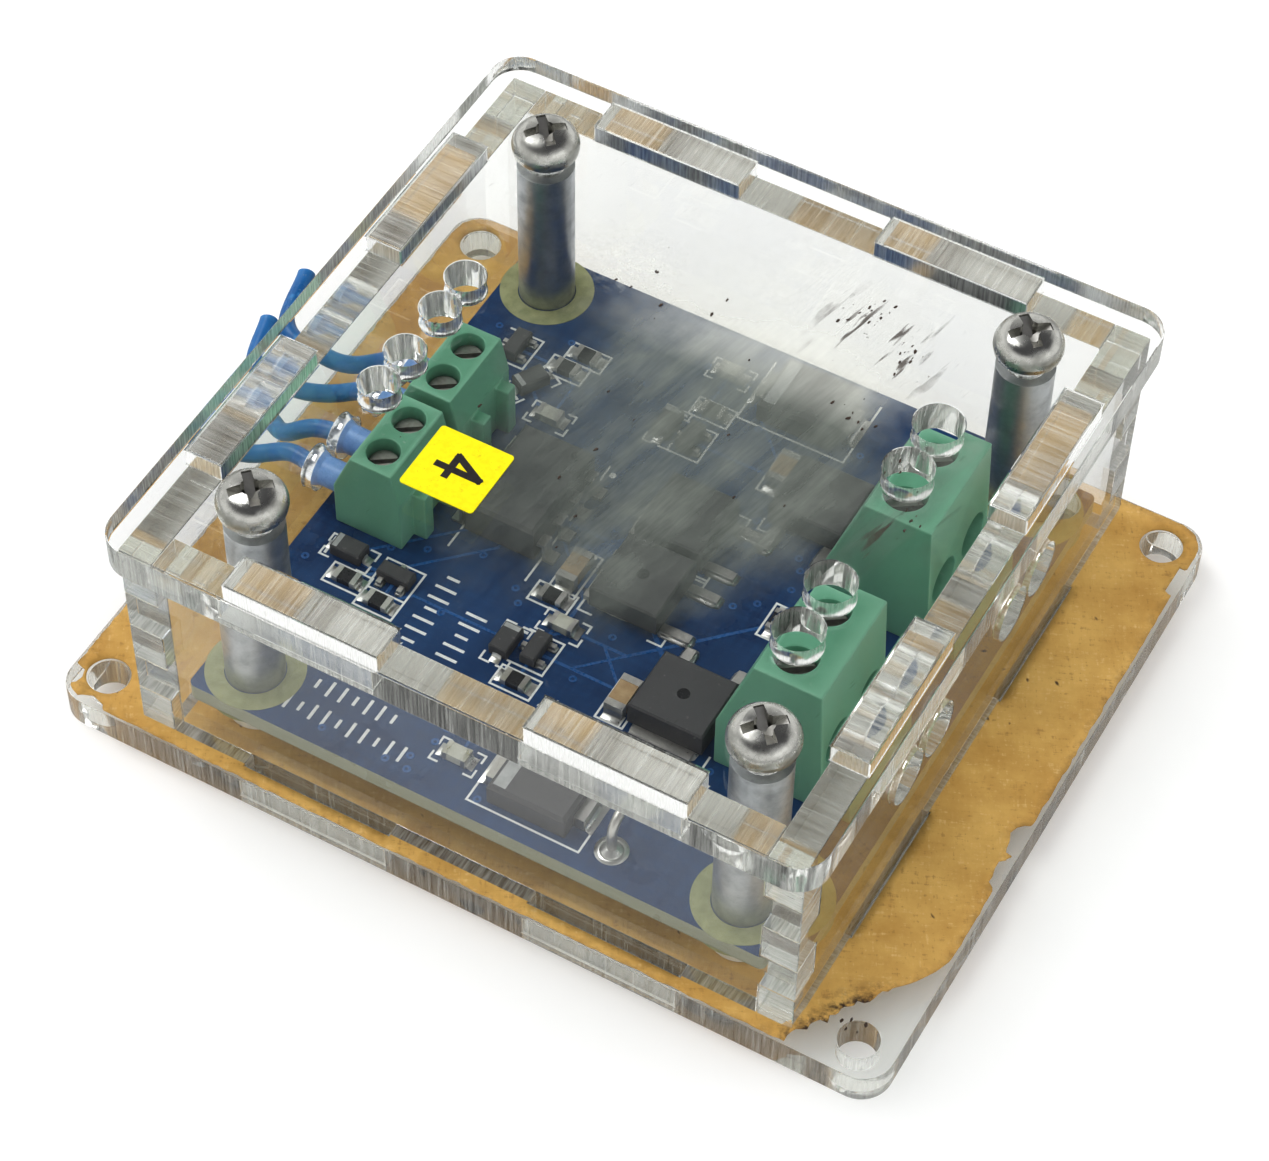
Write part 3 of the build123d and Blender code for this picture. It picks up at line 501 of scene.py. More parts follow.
def slab(mesh, outline, low, high):
    """A closed flat solid from an outline of (x, y) points."""
    loft(mesh, [[mesh.verts.new((x, y, z)) for x, y in outline] for z in (low, high)])


def circle(mesh, centre, radius, z, steps):
    """Vertices round a level circle."""
    angles = [tau * k / steps for k in range(steps)]
    return [mesh.verts.new((centre[0] + radius * cos(angle), centre[1] + radius * sin(angle), z))
            for angle in angles]


def stroke(mesh, a, b, width, low, high, overlap=0.5):
    """A straight bar from a to b, running on by overlap of its width at both ends."""
    high += 0.0001 * MM * (len(mesh.verts) // 8 % 61)  # crossing bars must not share a face
    a, b = Vector(a).to_2d(), Vector(b).to_2d()
    run = (b - a).normalized()
    side = Vector((-run.y, run.x)) * width / 2
    a = a - run * width * overlap
    b = b + run * width * overlap
    slab(mesh, [a - side, b - side, b + side, a + side], low, high)


def ring(mesh, centre, inner, outer, low, high, steps=40):
    """A flat washer with an open middle."""
    rows = [circle(mesh, centre, radius, z, steps)
            for radius, z in ((inner, low), (outer, low), (outer, high), (inner, high))]
    loft(mesh, rows + rows[:1], capped=False)


def lathe(mesh, centre, profile, steps=24):
    """A solid of revolution about a vertical axis; the profile starts and ends on the axis."""
    rows = [circle(mesh, centre, radius, z, steps) for radius, z in profile[1:-1]]
    loft(mesh, rows, capped=False)
    for (_, z), row in ((profile[0], rows[0]), (profile[-1], rows[-1])):
        tip = mesh.verts.new((centre[0], centre[1], z))
        for k in range(steps):
            mesh.faces.new((tip, row[k], row[(k + 1) % steps]))


def islands(mesh):
    """The vertices of each separate solid in a mesh, in turn."""
    left = dict.fromkeys(mesh.verts)
    while left:
        todo = [left.popitem()[0]]
        group = []
        while todo:
            vert = todo.pop()
            group.append(vert)
            for edge in vert.link_edges:
                other = edge.other_vert(vert)
                if other in left:
                    del left[other]
                    todo.append(other)
        yield group


def welded(name):
    """A CAD node's mesh as a bmesh whose coincident vertices are joined."""
    mesh = bmesh.new()
    mesh.from_mesh(NODES[name].data)
    bmesh.ops.remove_doubles(mesh, verts=mesh.verts, dist=0.5e-6)
    return mesh


def solids(name):
    """Each separate solid of a CAD node as (centre, half length, half width, turn, low, high)."""
    mesh = welded(name)
    found = []
    for group in islands(mesh):
        edges = {edge for vert in group for edge in vert.link_edges}
        flat = [e for e in edges if abs(e.verts[0].co.z - e.verts[1].co.z) < 1e-6
                and any(abs(f.normal.z) < 0.1 for f in e.link_faces)]
        longest = max(flat, key=lambda e: (round(e.calc_length(), 6), e.verts[0].co.x, e.verts[0].co.y))
        run = longest.verts[1].co - longest.verts[0].co
        turn = atan2(run.y, run.x)
        turn = (turn + pi / 2) % pi - pi / 2
        back = Matrix.Rotation(-turn, 3, "Z")
        spots = [back @ v.co for v in group]
        low = Vector([min(p[i] for p in spots) for i in range(3)])
        high = Vector([max(p[i] for p in spots) for i in range(3)])
        middle = Matrix.Rotation(turn, 3, "Z") @ ((low + high) / 2)
        half = (high - low) / 2
        found.append((middle, half.x, half.y, turn, low.z, high.z))
    mesh.free()
    return sorted(found, key=lambda item: (round(item[0].x, 5), round(item[0].y, 5)))


def local(middle, turn, x, y):
    """A point x along and y across a part that lies turned on the board."""
    return (middle.x + x * cos(turn) - y * sin(turn),
            middle.y + x * sin(turn) + y * cos(turn))


def tile(mesh, middle, turn, start, end, half_width, low, high):
    """A flat rectangle across a turned part, from start to end along it."""
    slab(mesh, [local(middle, turn, x, y) for x, y in
                ((start, -half_width), (end, -half_width), (end, half_width), (start, half_width))],
         low, high)


# --- Masking paper with torn, lifted edges -------------------------------------
def rim_loops(name):
    """Closed outlines of a CAD node's top face, the longest first."""
    mesh = welded(name)
    rim = [e for e in mesh.edges if len(e.link_faces) == 2
           and sorted(f.normal.z > 0.9 for f in e.link_faces) == [False, True]]
    after = {}
    for edge in rim:
        for vert in edge.verts:
            after.setdefault(vert, []).append(edge)
    loops = []
    left = set(rim)
    while left:
        edge = min(left, key=lambda e: e.index)
        start = vert = edge.verts[0]
        points = []
        while edge in left:
            left.discard(edge)
            points.append(vert.co.to_2d())
            vert = edge.other_vert(vert)
            onward = [e for e in after[vert] if e in left]
            if not onward or vert == start:
                break
            edge = onward[0]
        loops.append(points)
    mesh.free()

    def size(points):
        return sum((a - b).length for a, b in zip(points, points[1:] + points[:1]))

    return sorted(loops, key=size, reverse=True)


def resample(points, step):
    """The closed outline again, with points no further apart than step."""
    made = []
    for a, b in zip(points, points[1:] + points[:1]):
        count = max(1, ceil((b - a).length / step))
        made += [a.lerp(b, i / count) for i in range(count)]
    return made


FRONT_LEFT, REAR_RIGHT = PLATE_LOW.to_2d(), PLATE_HIGH.to_2d()
FRONT_RIGHT = Vector((PLATE_HIGH.x, PLATE_LOW.y))


def off(corner, x, y):
    """The point x and y millimetres from a corner of the plate."""
    return Vector((corner.x + x * MM, corner.y + y * MM))


TORN_CORNER = off(FRONT_RIGHT, -4.0, 3.2)
PAPER = 0.14 * MM  # thickness
BITES = [  # centre and radius of places where the paper's edge is gone
    (off(REAR_RIGHT, -0.2, -6.2), 1.5 * MM),
    (off(FRONT_RIGHT, 1.2, 25), 2.6 * MM),
    (off(FRONT_RIGHT, 0.9, 21.5), 2.0 * MM),
    (off(FRONT_LEFT, -0.2, 1.6), 1.6 * MM),
    (off(FRONT_LEFT, 3.4, -0.1), 1.2 * MM),
]
LIFTS = [  # where the paper has come up: centre, reach, height
    (TORN_CORNER, 7.0 * MM, 0.85 * MM),
    (FRONT_LEFT, 5.0 * MM, 0.55 * MM),
    (off(REAR_RIGHT, 0, -6), 6.0 * MM, 0.5 * MM),
    (off(FRONT_RIGHT, 0, 23), 7.0 * MM, 0.35 * MM),
]


def ripple(point, layer, size):
    """Smooth noise from -1 to 1 with features about size metres across."""
    return noise.noise(Vector((*point, layer)) / size)


def torn_edge(outline):
    """The outline made ragged, most of all at the torn corner, and cut back at the bites."""
    edge = []
    for point in outline:
        near_tear = max(0.0, 1 - (point - TORN_CORNER).length / (7 * MM))
        swing = 0.12 * MM + 0.7 * MM * near_tear
        wave = ripple(point, 0, 0.9 * MM) + 0.6 * ripple(point, 3, 0.3 * MM)
        point = point - point.normalized() * swing * (0.35 + wave)
        for centre, radius in BITES:
            away = point - centre
            reach = radius * (1 + 0.25 * ripple(point, 9, 0.5 * MM))
            if away.length < reach:
                point = centre + away.normalized() * reach
        edge.append(point)
    return edge


def inside(point, loop):
    """Whether a point is within a closed outline."""
    hit = False
    for a, b in zip(loop, loop[1:] + loop[:1]):
        if (a.y > point.y) != (b.y > point.y):
            if point.x < (b.x - a.x) * (point.y - a.y) / (b.y - a.y) + a.x:
                hit = not hit
    return hit


def filling(edge, holes, step):
    """Points scattered over the paper, about step apart."""
    spots = []
    for i in range(int((PLATE_HIGH.x - PLATE_LOW.x) / step)):
        for j in range(int((PLATE_HIGH.y - PLATE_LOW.y) / step)):
            spot = Vector((PLATE_LOW.x + (i + 0.3 + 0.4 * rng.random()) * step,
                           PLATE_LOW.y + (j + 0.3 + 0.4 * rng.random()) * step))
            if inside(spot, edge) and not any(inside(spot, hole) for hole in holes):
                spots.append(spot)
    return spots


def paper_lift(point, to_edge):
    """Height of the paper above where it was stuck down."""
    rise = 0.0
    for centre, reach, height in LIFTS:
        share = max(0.0, 1 - (point - centre).length / reach)
        rise = max(rise, height * share * exp(-to_edge / (1.1 * MM)))
    rise *= 0.75 + 0.5 * ripple(point, 1, 1.5 * MM)
    crease = 0.012 * MM * (1 + ripple(point, 5, 2.2 * MM))
    return rise + (crease if to_edge > 0.5 * MM else 0)


def paper_scorch(point, to_edge):
    """How dark the paper is: strongly at the torn corner's edge, a little along every edge."""
    near_tear = max(0.0, 1 - (point - TORN_CORNER).length / (6 * MM))
    burnt = 2.2 * near_tear * exp(-to_edge / (0.9 * MM))
    return min(1.0, burnt + 0.25 * exp(-to_edge / (0.2 * MM)))


def torn_paper():
    """The masking paper as one triangulated sheet, in place of the flat CAD one."""
    outline, *openings = rim_loops("base_paper")
    edge = torn_edge(resample(outline, 0.45 * MM))
    holes = [resample(points, 0.5 * MM) for points in openings]
    scattered = filling(edge, holes, 1.1 * MM)
    spots, borders = [], []
    for loop in [edge] + holes:
        if sum(a.x * b.y - b.x * a.y for a, b in zip(loop, loop[1:] + loop[:1])) < 0:
            loop.reverse()
        borders.append(list(range(len(spots), len(spots) + len(loop))))
        spots += loop
    points, _, faces, _, _, owners = delaunay_2d_cdt(spots + scattered, [], borders, 0, 1e-7)
    mesh = bmesh.new()
    scorch = mesh.verts.layers.float.new("scorch")
    made = []
    for point in points:
        to_edge = min((point - other).length for other in edge)
        vert = mesh.verts.new((*point, Z_PLATE - 0.03 * MM + paper_lift(point, to_edge)))
        vert[scorch] = paper_scorch(point, to_edge)
        made.append(vert)
    for corners, owner in zip(faces, owners):
        if 0 in owner and len(set(owner)) == 1:
            mesh.faces.new([made[i] for i in corners])
    bmesh.ops.delete(mesh, geom=[v for v in mesh.verts if not v.link_faces], context="VERTS")
    for face in mesh.faces:
        if face.normal.z < 0:
            face.normal_flip()
    sheet = placed("masking_paper", mesh, "paper", ROOT, smooth=True)
    solid = sheet.modifiers.new("thickness", "SOLIDIFY")
    solid.thickness = PAPER
    solid.offset = 1.0
    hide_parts("base_paper")


torn_paper()


# --- Copper, silk screen and solder on the board -------------------------------
COPPER = 0.035 * MM
SILK = 0.025 * MM
SILK_LINE = 0.18 * MM
VIA_COUNT = 70
holes_xy = [middle.to_2d() for middle, *_ in solids("standoffs")]


def mounting_rings():
    """Bare laminate round each standoff, on both sides of the board."""
    mesh = bmesh.new()
    for spot in holes_xy:
        ring(mesh, spot, 2.45 * MM, 4.0 * MM, Z_BOARD, Z_BOARD + COPPER, 64)
        ring(mesh, spot, 2.55 * MM, 4.0 * MM, Z_BOARD_UNDER - COPPER, Z_BOARD_UNDER, 64)
    piece("mounting_rings", mesh, "bare_ring")


mounting_rings()

PARTS = {name: solids(name) for name in (
    "mosfets", "gate_driver", "surge_suppressors", "transistors", "diodes",
    "chip_resistors", "chip_capacitors", "indicator_leds",
)}


def route(mesh, a, b, width, low, high):
    """A track from a to b with a 45 degree bend."""
    dx, dy = b[0] - a[0], b[1] - a[1]
    slant = min(abs(dx), abs(dy))
    knee = (a[0] + copysign(slant, dx), a[1] + copysign(slant, dy))
    for start, end in ((a, knee), (knee, b)):
        if (Vector(end) - Vector(start)).length > width:
            stroke(mesh, start, end, width, low, high)


def tracks():
    """Copper tracks between neighbouring parts, and vias in the free areas, on both sides."""
    mesh = bmesh.new()
    spots = {name: [(m.x, m.y) for m, *_ in items] for name, items in PARTS.items()}
    pairs = []
    small = spots["chip_resistors"] + spots["diodes"] + spots["chip_capacitors"]
    active = spots["transistors"] + spots["indicator_leds"] + spots["gate_driver"]
    large = spots["surge_suppressors"] + spots["chip_capacitors"]
    for spot in small:
        near = sorted(active, key=lambda other: dist(spot, other))
        pairs += [(spot, near[0], 0.3), (spot, near[1], 0.25)]
    for spot in spots["mosfets"]:
        near = sorted(large, key=lambda other: dist(spot, other))
        pairs += [(spot, near[0], 1.6), (spot, spots["gate_driver"][0], 0.4)]
    for a, b, width in pairs:
        route(mesh, a, b, width * MM, Z_BOARD - 0.01 * MM, Z_BOARD + COPPER * 0.6)
        shift = 2.2 * MM  # the tracks below run beside the ones above
        route(mesh, (a[0] + shift, a[1]), (b[0], b[1] + shift), width * MM,
              Z_BOARD_UNDER - COPPER * 0.6, Z_BOARD_UNDER + 0.01 * MM)
    taken = [(m.to_2d(), max(a, b) + 0.6 * MM) for items in PARTS.values() for m, a, b, *_ in items]
    taken += [(spot, 4.5 * MM) for spot in holes_xy]
    made = 0
    rim = 1.5 * MM
    vias = bmesh.new()
    while made < VIA_COUNT:
        spot = Vector((rng.uniform(BOARD_LOW.x + rim, BOARD_HIGH.x - rim),
                       rng.uniform(BOARD_LOW.y + rim, BOARD_HIGH.y - rim)))
        if all((spot - other).length > reach for other, reach in taken):
            ring(vias, spot, 0.14 * MM, 0.34 * MM, Z_BOARD, Z_BOARD + COPPER * 0.9, 14)
            ring(vias, spot, 0.14 * MM, 0.34 * MM, Z_BOARD_UNDER - COPPER * 0.9, Z_BOARD_UNDER, 14)
            taken.append((spot, 1.1 * MM))
            made += 1
    piece("copper_tracks", mesh, "trace")
    piece("board_vias", vias, "trace")


tracks()


def silk_line(mesh, a, b, width=SILK_LINE, overlap=0.5):
    """A straight line printed on the board."""
    stroke(mesh, a, b, width, Z_BOARD, Z_BOARD + SILK, overlap)


def silk_box(mesh, middle, turn, half_x, half_y, gaps=()):
    """A rectangle of silk lines; gaps name sides left open: n, s, e or w."""
    corner = {key: local(middle, turn, x * half_x, y * half_y)
              for key, (x, y) in {"sw": (-1, -1), "se": (1, -1), "ne": (1, 1), "nw": (-1, 1)}.items()}
    sides = {"s": ("sw", "se"), "e": ("se", "ne"), "n": ("ne", "nw"), "w": ("nw", "sw")}
    for key, (a, b) in sides.items():
        if key not in gaps:
            silk_line(mesh, corner[a], corner[b])


def silk_corners(mesh, middle, turn, half_x, half_y, arm):
    """Only the four corners of a rectangle."""
    for sx in (-1, 1):
        for sy in (-1, 1):
            tip = local(middle, turn, sx * half_x, sy * half_y)
            for x, y in ((sx * (half_x - arm), sy * half_y), (sx * half_x, sy * (half_y - arm))):
                silk_line(mesh, tip, local(middle, turn, x, y))


def silk():
    """White outlines round the parts, and plain bars where a maker would print words."""
    mesh = bmesh.new()
    for middle, a, b, turn, *_ in PARTS["chip_resistors"] + PARTS["chip_capacitors"]:
        silk_box(mesh, middle, turn, a + 0.75 * MM, b + 0.4 * MM)
    for middle, a, b, turn, *_ in PARTS["diodes"]:
        silk_corners(mesh, middle, turn, a + 0.8 * MM, b + 0.35 * MM, 0.8 * MM)
        mark = -a - 0.45 * MM
        silk_line(mesh, local(middle, turn, mark, -b), local(middle, turn, mark, b), SILK_LINE * 1.4)
    for middle, a, b, turn, *_ in PARTS["transistors"]:
        silk_box(mesh, middle, turn, a + 0.3 * MM, b + 0.9 * MM, "s")
    for middle, a, b, turn, *_ in PARTS["indicator_leds"]:
        silk_corners(mesh, middle, turn, a + 0.9 * MM, b + 0.5 * MM, 0.7 * MM)
    for middle, a, b, turn, *_ in PARTS["surge_suppressors"]:
        silk_box(mesh, middle, turn, a + 1.5 * MM, b + 0.5 * MM, "n")
    for middle, a, b, turn, *_ in PARTS["gate_driver"]:
        silk_box(mesh, middle, turn, a + 1.9 * MM, b + 0.35 * MM, "ew")
        dot = local(middle, turn, -a - 1.2 * MM, b + 1.0 * MM)
        loft(mesh, [circle(mesh, dot, 0.3 * MM, z, 16) for z in (Z_BOARD, Z_BOARD + SILK)])
    for middle, a, b, turn, *_ in PARTS["mosfets"]:
        silk_corners(mesh, middle, turn, max(a, b) + 0.5 * MM, max(a, b) + 0.5 * MM, 1.2 * MM)
    # two rows of bars along the front, two up the middle
    for row, (x, y, turn, bars, tall) in enumerate((
        (-12.6, -20.4, 0.0, 7, 1.5), (-12.6, -22.9, 0.0, 11, 1.5),
        (-12.3, -17.0, 90.0, 8, 1.9), (-8.8, -17.0, 90.0, 6, 1.9),
    )):
        angle = radians(turn)
        centre = Vector((x * MM, y * MM, 0))
        for k in range(bars):
            place = k * 1.15 * MM if turn else (k - bars / 2) * 1.15 * MM
            high = tall * MM / 2 * (1.0 if (k + row) % 3 else 0.6)
            silk_line(mesh, local(centre, angle, place, -high), local(centre, angle, place, high),
                      0.26 * MM, 0)
    piece("silk_marks", mesh, "silk")


silk()


def end_caps():
    """Tinned ends on chip parts, each with a solder fillet."""
    caps = bmesh.new()
    fillets = bmesh.new()
    for name, cap in (("chip_resistors", 0.42), ("chip_capacitors", 0.60), ("indicator_leds", 0.35)):
        for middle, a, b, turn, low, high in PARTS[name]:
            for side in (-1, 1):
                inner, outer = side * (a - cap * MM), side * (a + 0.03 * MM)
                tile(caps, middle, turn, inner, outer, b + 0.03 * MM, low + 0.01 * MM, high + 0.03 * MM)
                fillet(fillets, middle, turn, side, a, b, high - low)
    for name, reach in (("diodes", 0.05), ("surge_suppressors", 0.95)):
        for middle, a, b, turn, *_ in PARTS[name]:
            for side in (-1, 1):
                fillet(fillets, middle, turn, side, a + reach * MM, b * 0.55, 0.7 * MM)
    piece("chip_end_caps", caps, "tin")
    made = piece("solder_fillets", fillets, "solder", smooth=True)
    rounded = made.modifiers.new("rounded", "BEVEL")
    rounded.width = 0.05 * MM
    rounded.segments = 2


def fillet(mesh, middle, turn, side, reach, half_width, height):
    """Solder drawn up one end of a part: a concave slope over its pad."""
    tall = height * 0.75
    length = 0.65 * MM
    profile = [(0, tall), (0.10, tall * 0.55), (0.30, tall * 0.25), (0.65, tall * 0.12), (1.0, 0.05 * MM)]
    rows = []
    for share, z in profile:
        width = half_width * (0.92 + 0.12 * share)
        x = side * (reach + share * length)
        rows.append([mesh.verts.new((*local(middle, turn, x, y * width), Z_BOARD + h))
                     for y, h in ((-1, z * 0.8), (0, z), (1, z * 0.8))])
        rows[-1] += [mesh.verts.new((*local(middle, turn, x, y * width), Z_BOARD)) for y in (1, -1)]
    loft(mesh, rows)


end_caps()


LEAD_STEPS = 20


def lead_solder():
    """Solder under flat leads, as low blobs a little wider than each lead."""
    mesh = bmesh.new()
    for name, grow in (("transistor_leads", 0.18), ("mosfet_tabs", 0.35)):
        for middle, a, b, turn, *_ in solids(name):
            rows = []
            for size, z in ((1.0, Z_BOARD), (0.72, Z_BOARD + 0.16 * MM)):
                rows.append([])
                for k in range(LEAD_STEPS):
                    u, v = cos(tau * k / LEAD_STEPS), sin(tau * k / LEAD_STEPS)
                    square = size / max(abs(u), abs(v)) ** 0.8  # between a circle and a square
                    x, y = (a + grow * MM) * u * square, (b + grow * MM) * v * square
                    rows[-1].append(mesh.verts.new((*local(middle, turn, x, y), z)))
            loft(mesh, rows)
    piece("lead_solder", mesh, "solder", smooth=True)


lead_solder()


def solder_cones():
    """Joints round the terminal pins and the wire link, under the board and on its top."""
    mesh = bmesh.new()
    for name, spread in (("input_pins", 0.85), ("output_pins", 1.15)):
        for middle, a, *_ in solids(name):
            side = -1 if middle.x > 0 else 1
            foot = Vector((middle.x + side * (a - 0.2 * MM), middle.y, 0))
            lathe(mesh, foot, [(0, Z_BOARD_UNDER), (spread * MM, Z_BOARD_UNDER),
                               (spread * 0.72 * MM, Z_BOARD_UNDER - 0.25 * MM),
                               (spread * 0.5 * MM, Z_BOARD_UNDER - 0.7 * MM), (0, Z_BOARD_UNDER - 1.0 * MM)])
    low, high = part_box("wire_link")
    radius = (high.x - low.x) / 2
    for y in (low.y + radius, high.y - radius):
        spot = Vector(((low.x + high.x) / 2, y, 0))
        ring(mesh, spot, radius * 1.02, 1.35 * MM, Z_BOARD, Z_BOARD + COPPER, 36)
        for top, sign in ((Z_BOARD, 1), (Z_BOARD_UNDER, -1)):
            lathe(mesh, spot, [(0, top), (1.0 * MM, top), (0.78 * MM, top + sign * 0.14 * MM),
                               (radius * 1.25, top + sign * 0.42 * MM), (0, top + sign * 0.62 * MM)])
    piece("solder_cones", mesh, "solder", smooth=True)


solder_cones()


def part_marks():
    """Pin-one dimples and cathode bands, in place of printing on the moulded parts."""
    dimples = bmesh.new()
    bands = bmesh.new()
    lift = 0.012 * MM
    spots = [(local(m, turn, 1.1 * MM - a, b - 1.1 * MM), high, 0.42, 0.45)
             for m, a, b, turn, low, high in PARTS["gate_driver"]]
    spots += [(m, high, 0.50, 0.54) for m, *_, high in PARTS["mosfets"]]
    for spot, high, radius, foot in spots:
        lathe(dimples, spot, [(0, high + lift), (radius * MM, high + lift),
                              (foot * MM, high - lift), (0, high - lift)])
    for middle, a, b, turn, low, high in PARTS["surge_suppressors"] + PARTS["diodes"]:
        tile(bands, middle, turn, -a * 0.9, -a * 0.58, b * 0.86, high - lift, high + lift)
    piece("pin_one_dimples", dimples, "dimple")
    piece("cathode_bands", bands, "band")


part_marks()


# --- Label numeral, flakes of dirt, wire ends ----------------------------------
def numeral():
    """A plain figure four whose top points to +X."""
    middle = (LABEL_LOW + LABEL_HIGH) / 2
    low, high = LABEL_HIGH.z - 0.005 * MM, LABEL_HIGH.z + 0.02 * MM
    foot, head, left, right = [(middle.x + x * MM, middle.y + y * MM) for x, y in
                               ((-1.55, -0.25), (2.05, -0.25), (-0.45, 1.1), (-0.45, -1.0))]
    mesh = bmesh.new()
    for a, b in ((foot, head), (head, left), (left, right)):
        stroke(mesh, a, b, 0.58 * MM, low, high, 0.4)
    piece("label_numeral", mesh, "ink", "lid")


numeral()


def flakes():
    """Crumbs of dirt stuck on the lid, and loose bits on the paper by the torn corner."""
    lid_bits = bmesh.new()
    paper_bits = bmesh.new()
    clusters = [  # where the crumbs gather on the lid: x, y, spread, count
        (9.5, 18.5, 2.6, 16), (14.5, 16.5, 2.2, 14), (13.0, 9.5, 2.0, 8), (21.0, 2.5, 1.6, 10),
        (17.5, 6.0, 1.5, 6), (-8.5, 13.5, 3.0, 6), (0.0, 0.0, 15.0, 18),
    ]

    def crumb(mesh, x, y, z, size):
        angle = rng.uniform(radians(60), radians(95))
        corners = rng.randint(5, 7)
        outline = []
        for k in range(corners):
            reach = size * rng.uniform(0.35, 1.0)
            u = reach * cos(tau * k / corners) * 1.5
            v = reach * sin(tau * k / corners) * 0.7
            outline.append(local(Vector((x, y)), angle, u, v))
        slab(mesh, outline, z - 0.005 * MM, z + size * rng.uniform(0.25, 0.5))

    for x, y, spread, count in clusters:
        for _ in range(count):
            crumb(lid_bits, rng.gauss(x, spread / 2) * MM, rng.gauss(y, spread / 2) * MM, Z_LID,
                  rng.uniform(0.05, 0.2) * MM)
    corner = off(FRONT_RIGHT, -4.9, 4.6)
    for _ in range(5):
        crumb(paper_bits, corner.x + rng.gauss(0, 1.1) * MM, corner.y + rng.gauss(0, 0.7) * MM,
              Z_PLATE, rng.uniform(0.10, 0.24) * MM)
    piece("lid_crumbs", lid_bits, "grime", "lid")
    piece("corner_crumbs", paper_bits, "grime")


flakes()


STRAND = 0.125 * MM  # radius of one copper strand
STRAND_STEPS = 10


def wire_ends():
    """Seven copper strands standing out of each cut end of the blue wires."""
    mesh = bmesh.new()
    source = welded("signal_wires")
    for group in islands(source):
        group = set(group)
        tip = min(group, key=lambda v: v.co.x)
        caps = [f for f in source.faces if f.verts[0] in group
                and (f.calc_center_median() - tip.co).length < 1.7 * MM and f.normal.x < -0.2]

        def flat_with(face):
            return [f for f in caps if f.normal.dot(face.normal) > 0.999]

        end = max(caps, key=lambda f: sum(g.calc_area() for g in flat_with(f)))
        rim = {v for f in flat_with(end) for v in f.verts}
        centre = sum((v.co for v in rim), Vector()) / len(rim)
        turn = end.normal.to_track_quat("Z", "Y").to_matrix()
        spots = [(0.0, 0.0)]
        for k in range(6):
            spots.append((0.27 * MM * cos(k * tau / 6), 0.27 * MM * sin(k * tau / 6)))
        for spot in spots:
            rows = [circle(mesh, spot, radius, z, STRAND_STEPS)
                    for z, radius in ((-0.25 * MM, STRAND), (0.22 * MM, STRAND), (0.27 * MM, 0.08 * MM))]
            for vert in sum(rows, []):
                vert.co = centre + turn @ vert.co
            loft(mesh, rows)
    source.free()
    piece("wire_strands", mesh, "copper", smooth=True)


wire_ends()


def recess_floors():
    """The four sloping grooves of each cross recess, which catch the light."""
    half_width = 0.395 * MM
    for name in named("lid_screw"):
        low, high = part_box(name)
        middle = (low + high) / 2
        floor_z = high.z - 1.58 * MM
        mesh = bmesh.new()
        for k in range(4):
            turn = radians(45 + 90 * k)
            rows = []
            for reach, slope_z in ((0.0, high.z - 1.45 * MM), (1.72 * MM, high.z - 0.38 * MM)):
                rows.append([mesh.verts.new((*local(middle, turn, reach, side * half_width), z))
                             for side, z in ((-1, floor_z), (1, floor_z), (1, slope_z), (-1, slope_z))])
            loft(mesh, rows)
        piece(name + "_recess", mesh, "tin", name)


recess_floors()


# --- Floor, light and camera ---------------------------------------------------
def floor():
    """A level sheet 1.8 m wide, a hair under the base plate."""
    mesh = bmesh.new()
    bmesh.ops.create_grid(mesh, x_segments=6, y_segments=6, size=0.9)
    data = bpy.data.meshes.new("floor")
    mesh.to_mesh(data)
    mesh.free()
    data.materials.append(M["floor"])
    ground = shown("floor", data)
    ground.location.z = -0.02 * MM


floor()


def toward(azimuth, elevation):
    """Unit vector from the object to a viewpoint; azimuth 0 is in front of it, 90 to its right."""
    a, e = radians(azimuth), radians(elevation)
    return Vector((sin(a) * cos(e), -cos(a) * cos(e), sin(e)))


def lamp(name, azimuth, elevation, distance, size, power):
    """A square soft light aimed at the object."""
    place = toward(azimuth, elevation) * distance
    light = bpy.data.lights.new(name, "AREA")
    light.size = size
    light.energy = power
    holder = shown(name, light)
    holder.location = place
    holder.rotation_euler = (-place).to_track_quat("-Z", "Y").to_euler()


lamp("key", -95, 58, 0.9, 0.45, 2.6)
lamp("fill", 75, 35, 1.0, 0.7, 0.5)


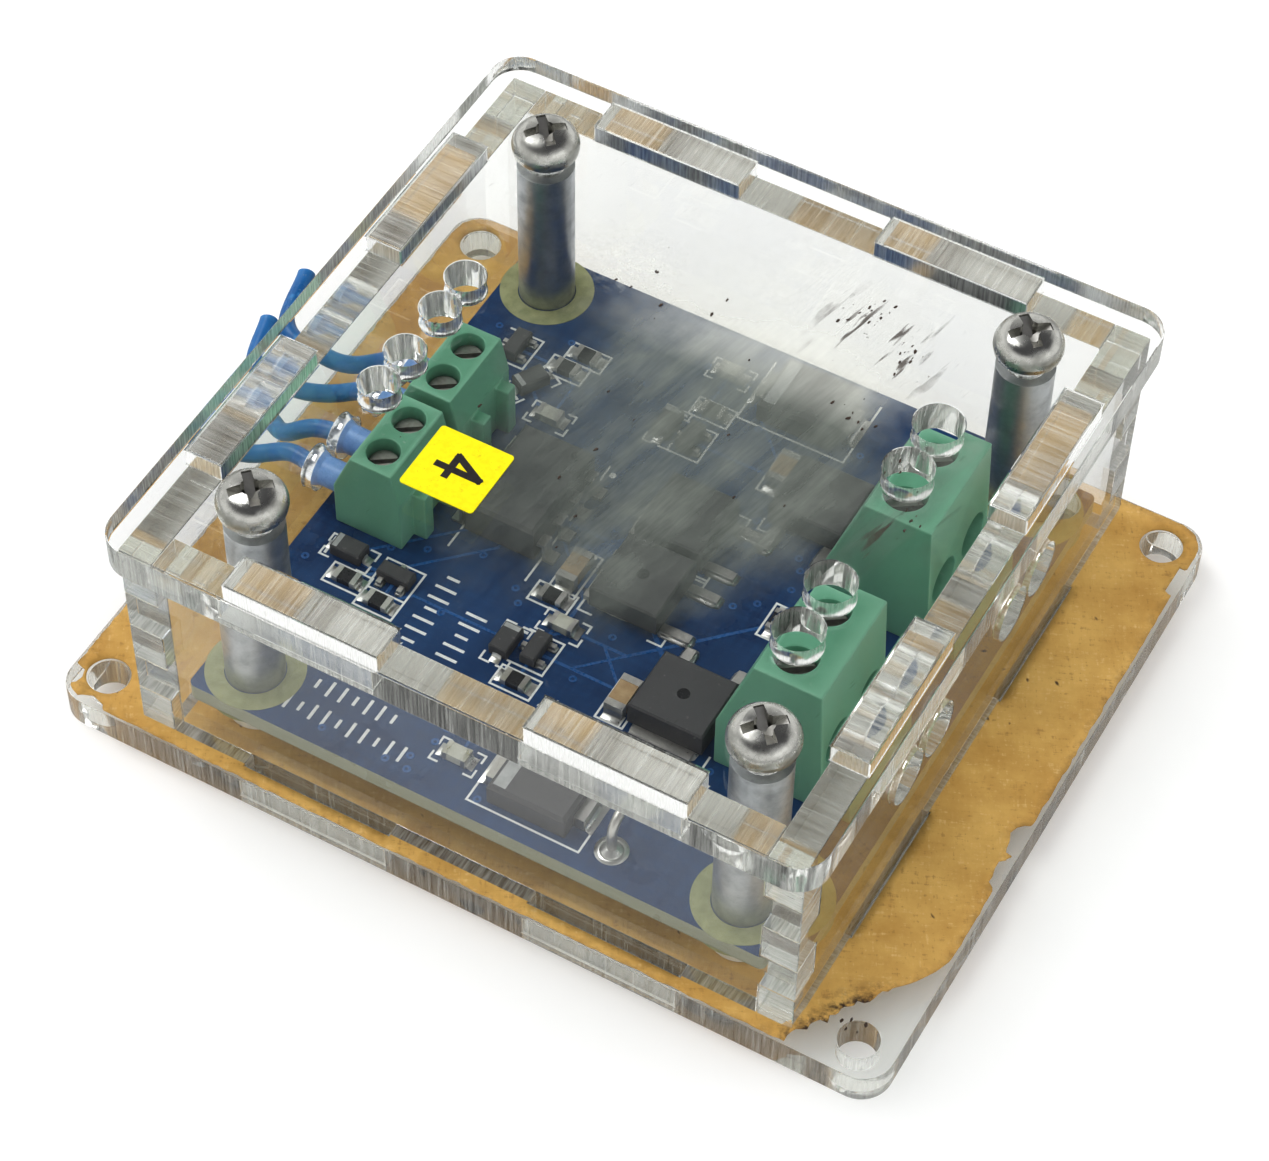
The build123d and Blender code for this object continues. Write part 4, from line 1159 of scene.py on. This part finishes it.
def sky():
    """White to the camera and to matt surfaces; a bright horizon under a dark ceiling in reflections."""
    world = bpy.data.worlds.new("studio")
    bpy.context.scene.world = world
    s = Nodes(world)
    even = s.node("ShaderNodeBackground", {"Color": (1, 1, 1), "Strength": 0.86}).outputs[0]
    heading = s.node("ShaderNodeTexCoord").outputs["Generated"]
    ramp = s.node("ShaderNodeValToRGB", {"Fac": s.split(heading)["Z"]})
    horizon, ceiling = ramp.color_ramp.elements
    horizon.position, horizon.color = 0.42, (0.92, 0.92, 0.91, 1)
    ceiling.position, ceiling.color = 0.70, (0.10, 0.10, 0.105, 1)
    room = s.node("ShaderNodeBackground", {"Color": ramp.outputs["Color"]}).outputs[0]
    rays = s.node("ShaderNodeLightPath").outputs
    matt = s.larger(rays["Is Diffuse Ray"], rays["Is Camera Ray"])
    s.node("ShaderNodeOutputWorld", {"Surface": s.mix_shader(matt, room, even)})


sky()


VIEW_AZIMUTH, VIEW_ELEVATION, VIEW_ROLL = 28.57, 51.70, 1.15
VIEW_TARGET = Vector((-2.16 * MM, 2.35 * MM, Z_PLATE))
VIEW_DISTANCE = 299.55 * MM
LENS, SENSOR = 104.65, 36.0  # in millimetres, as Blender counts them


def camera():
    """The photograph's viewpoint: a long lens from the front right, looking down at 52 degrees."""
    back = toward(VIEW_AZIMUTH, VIEW_ELEVATION)
    level = Vector((0, 0, 1)).cross(back).normalized()
    right = Matrix.Rotation(radians(VIEW_ROLL), 3, back) @ level
    data = bpy.data.cameras.new("camera")
    data.sensor_width = SENSOR
    data.lens = LENS
    data.clip_start = 0.01
    data.clip_end = 10
    holder = shown("camera", data)
    turn = Matrix((right, back.cross(right), back)).transposed()
    holder.matrix_world = Matrix.Translation(VIEW_TARGET + back * VIEW_DISTANCE) @ turn.to_4x4()
    bpy.context.scene.camera = holder


camera()

scene = bpy.context.scene
scene.view_settings.view_transform = "Standard"
scene.view_settings.exposure = 0.22
scene.view_settings.gamma = 0.88
scene.cycles.max_bounces = 16
scene.cycles.transmission_bounces = 14
scene.cycles.glossy_bounces = 8
scene.cycles.transparent_max_bounces = 24
scene.cycles.caustics_reflective = False
scene.cycles.adaptive_threshold = 0.03
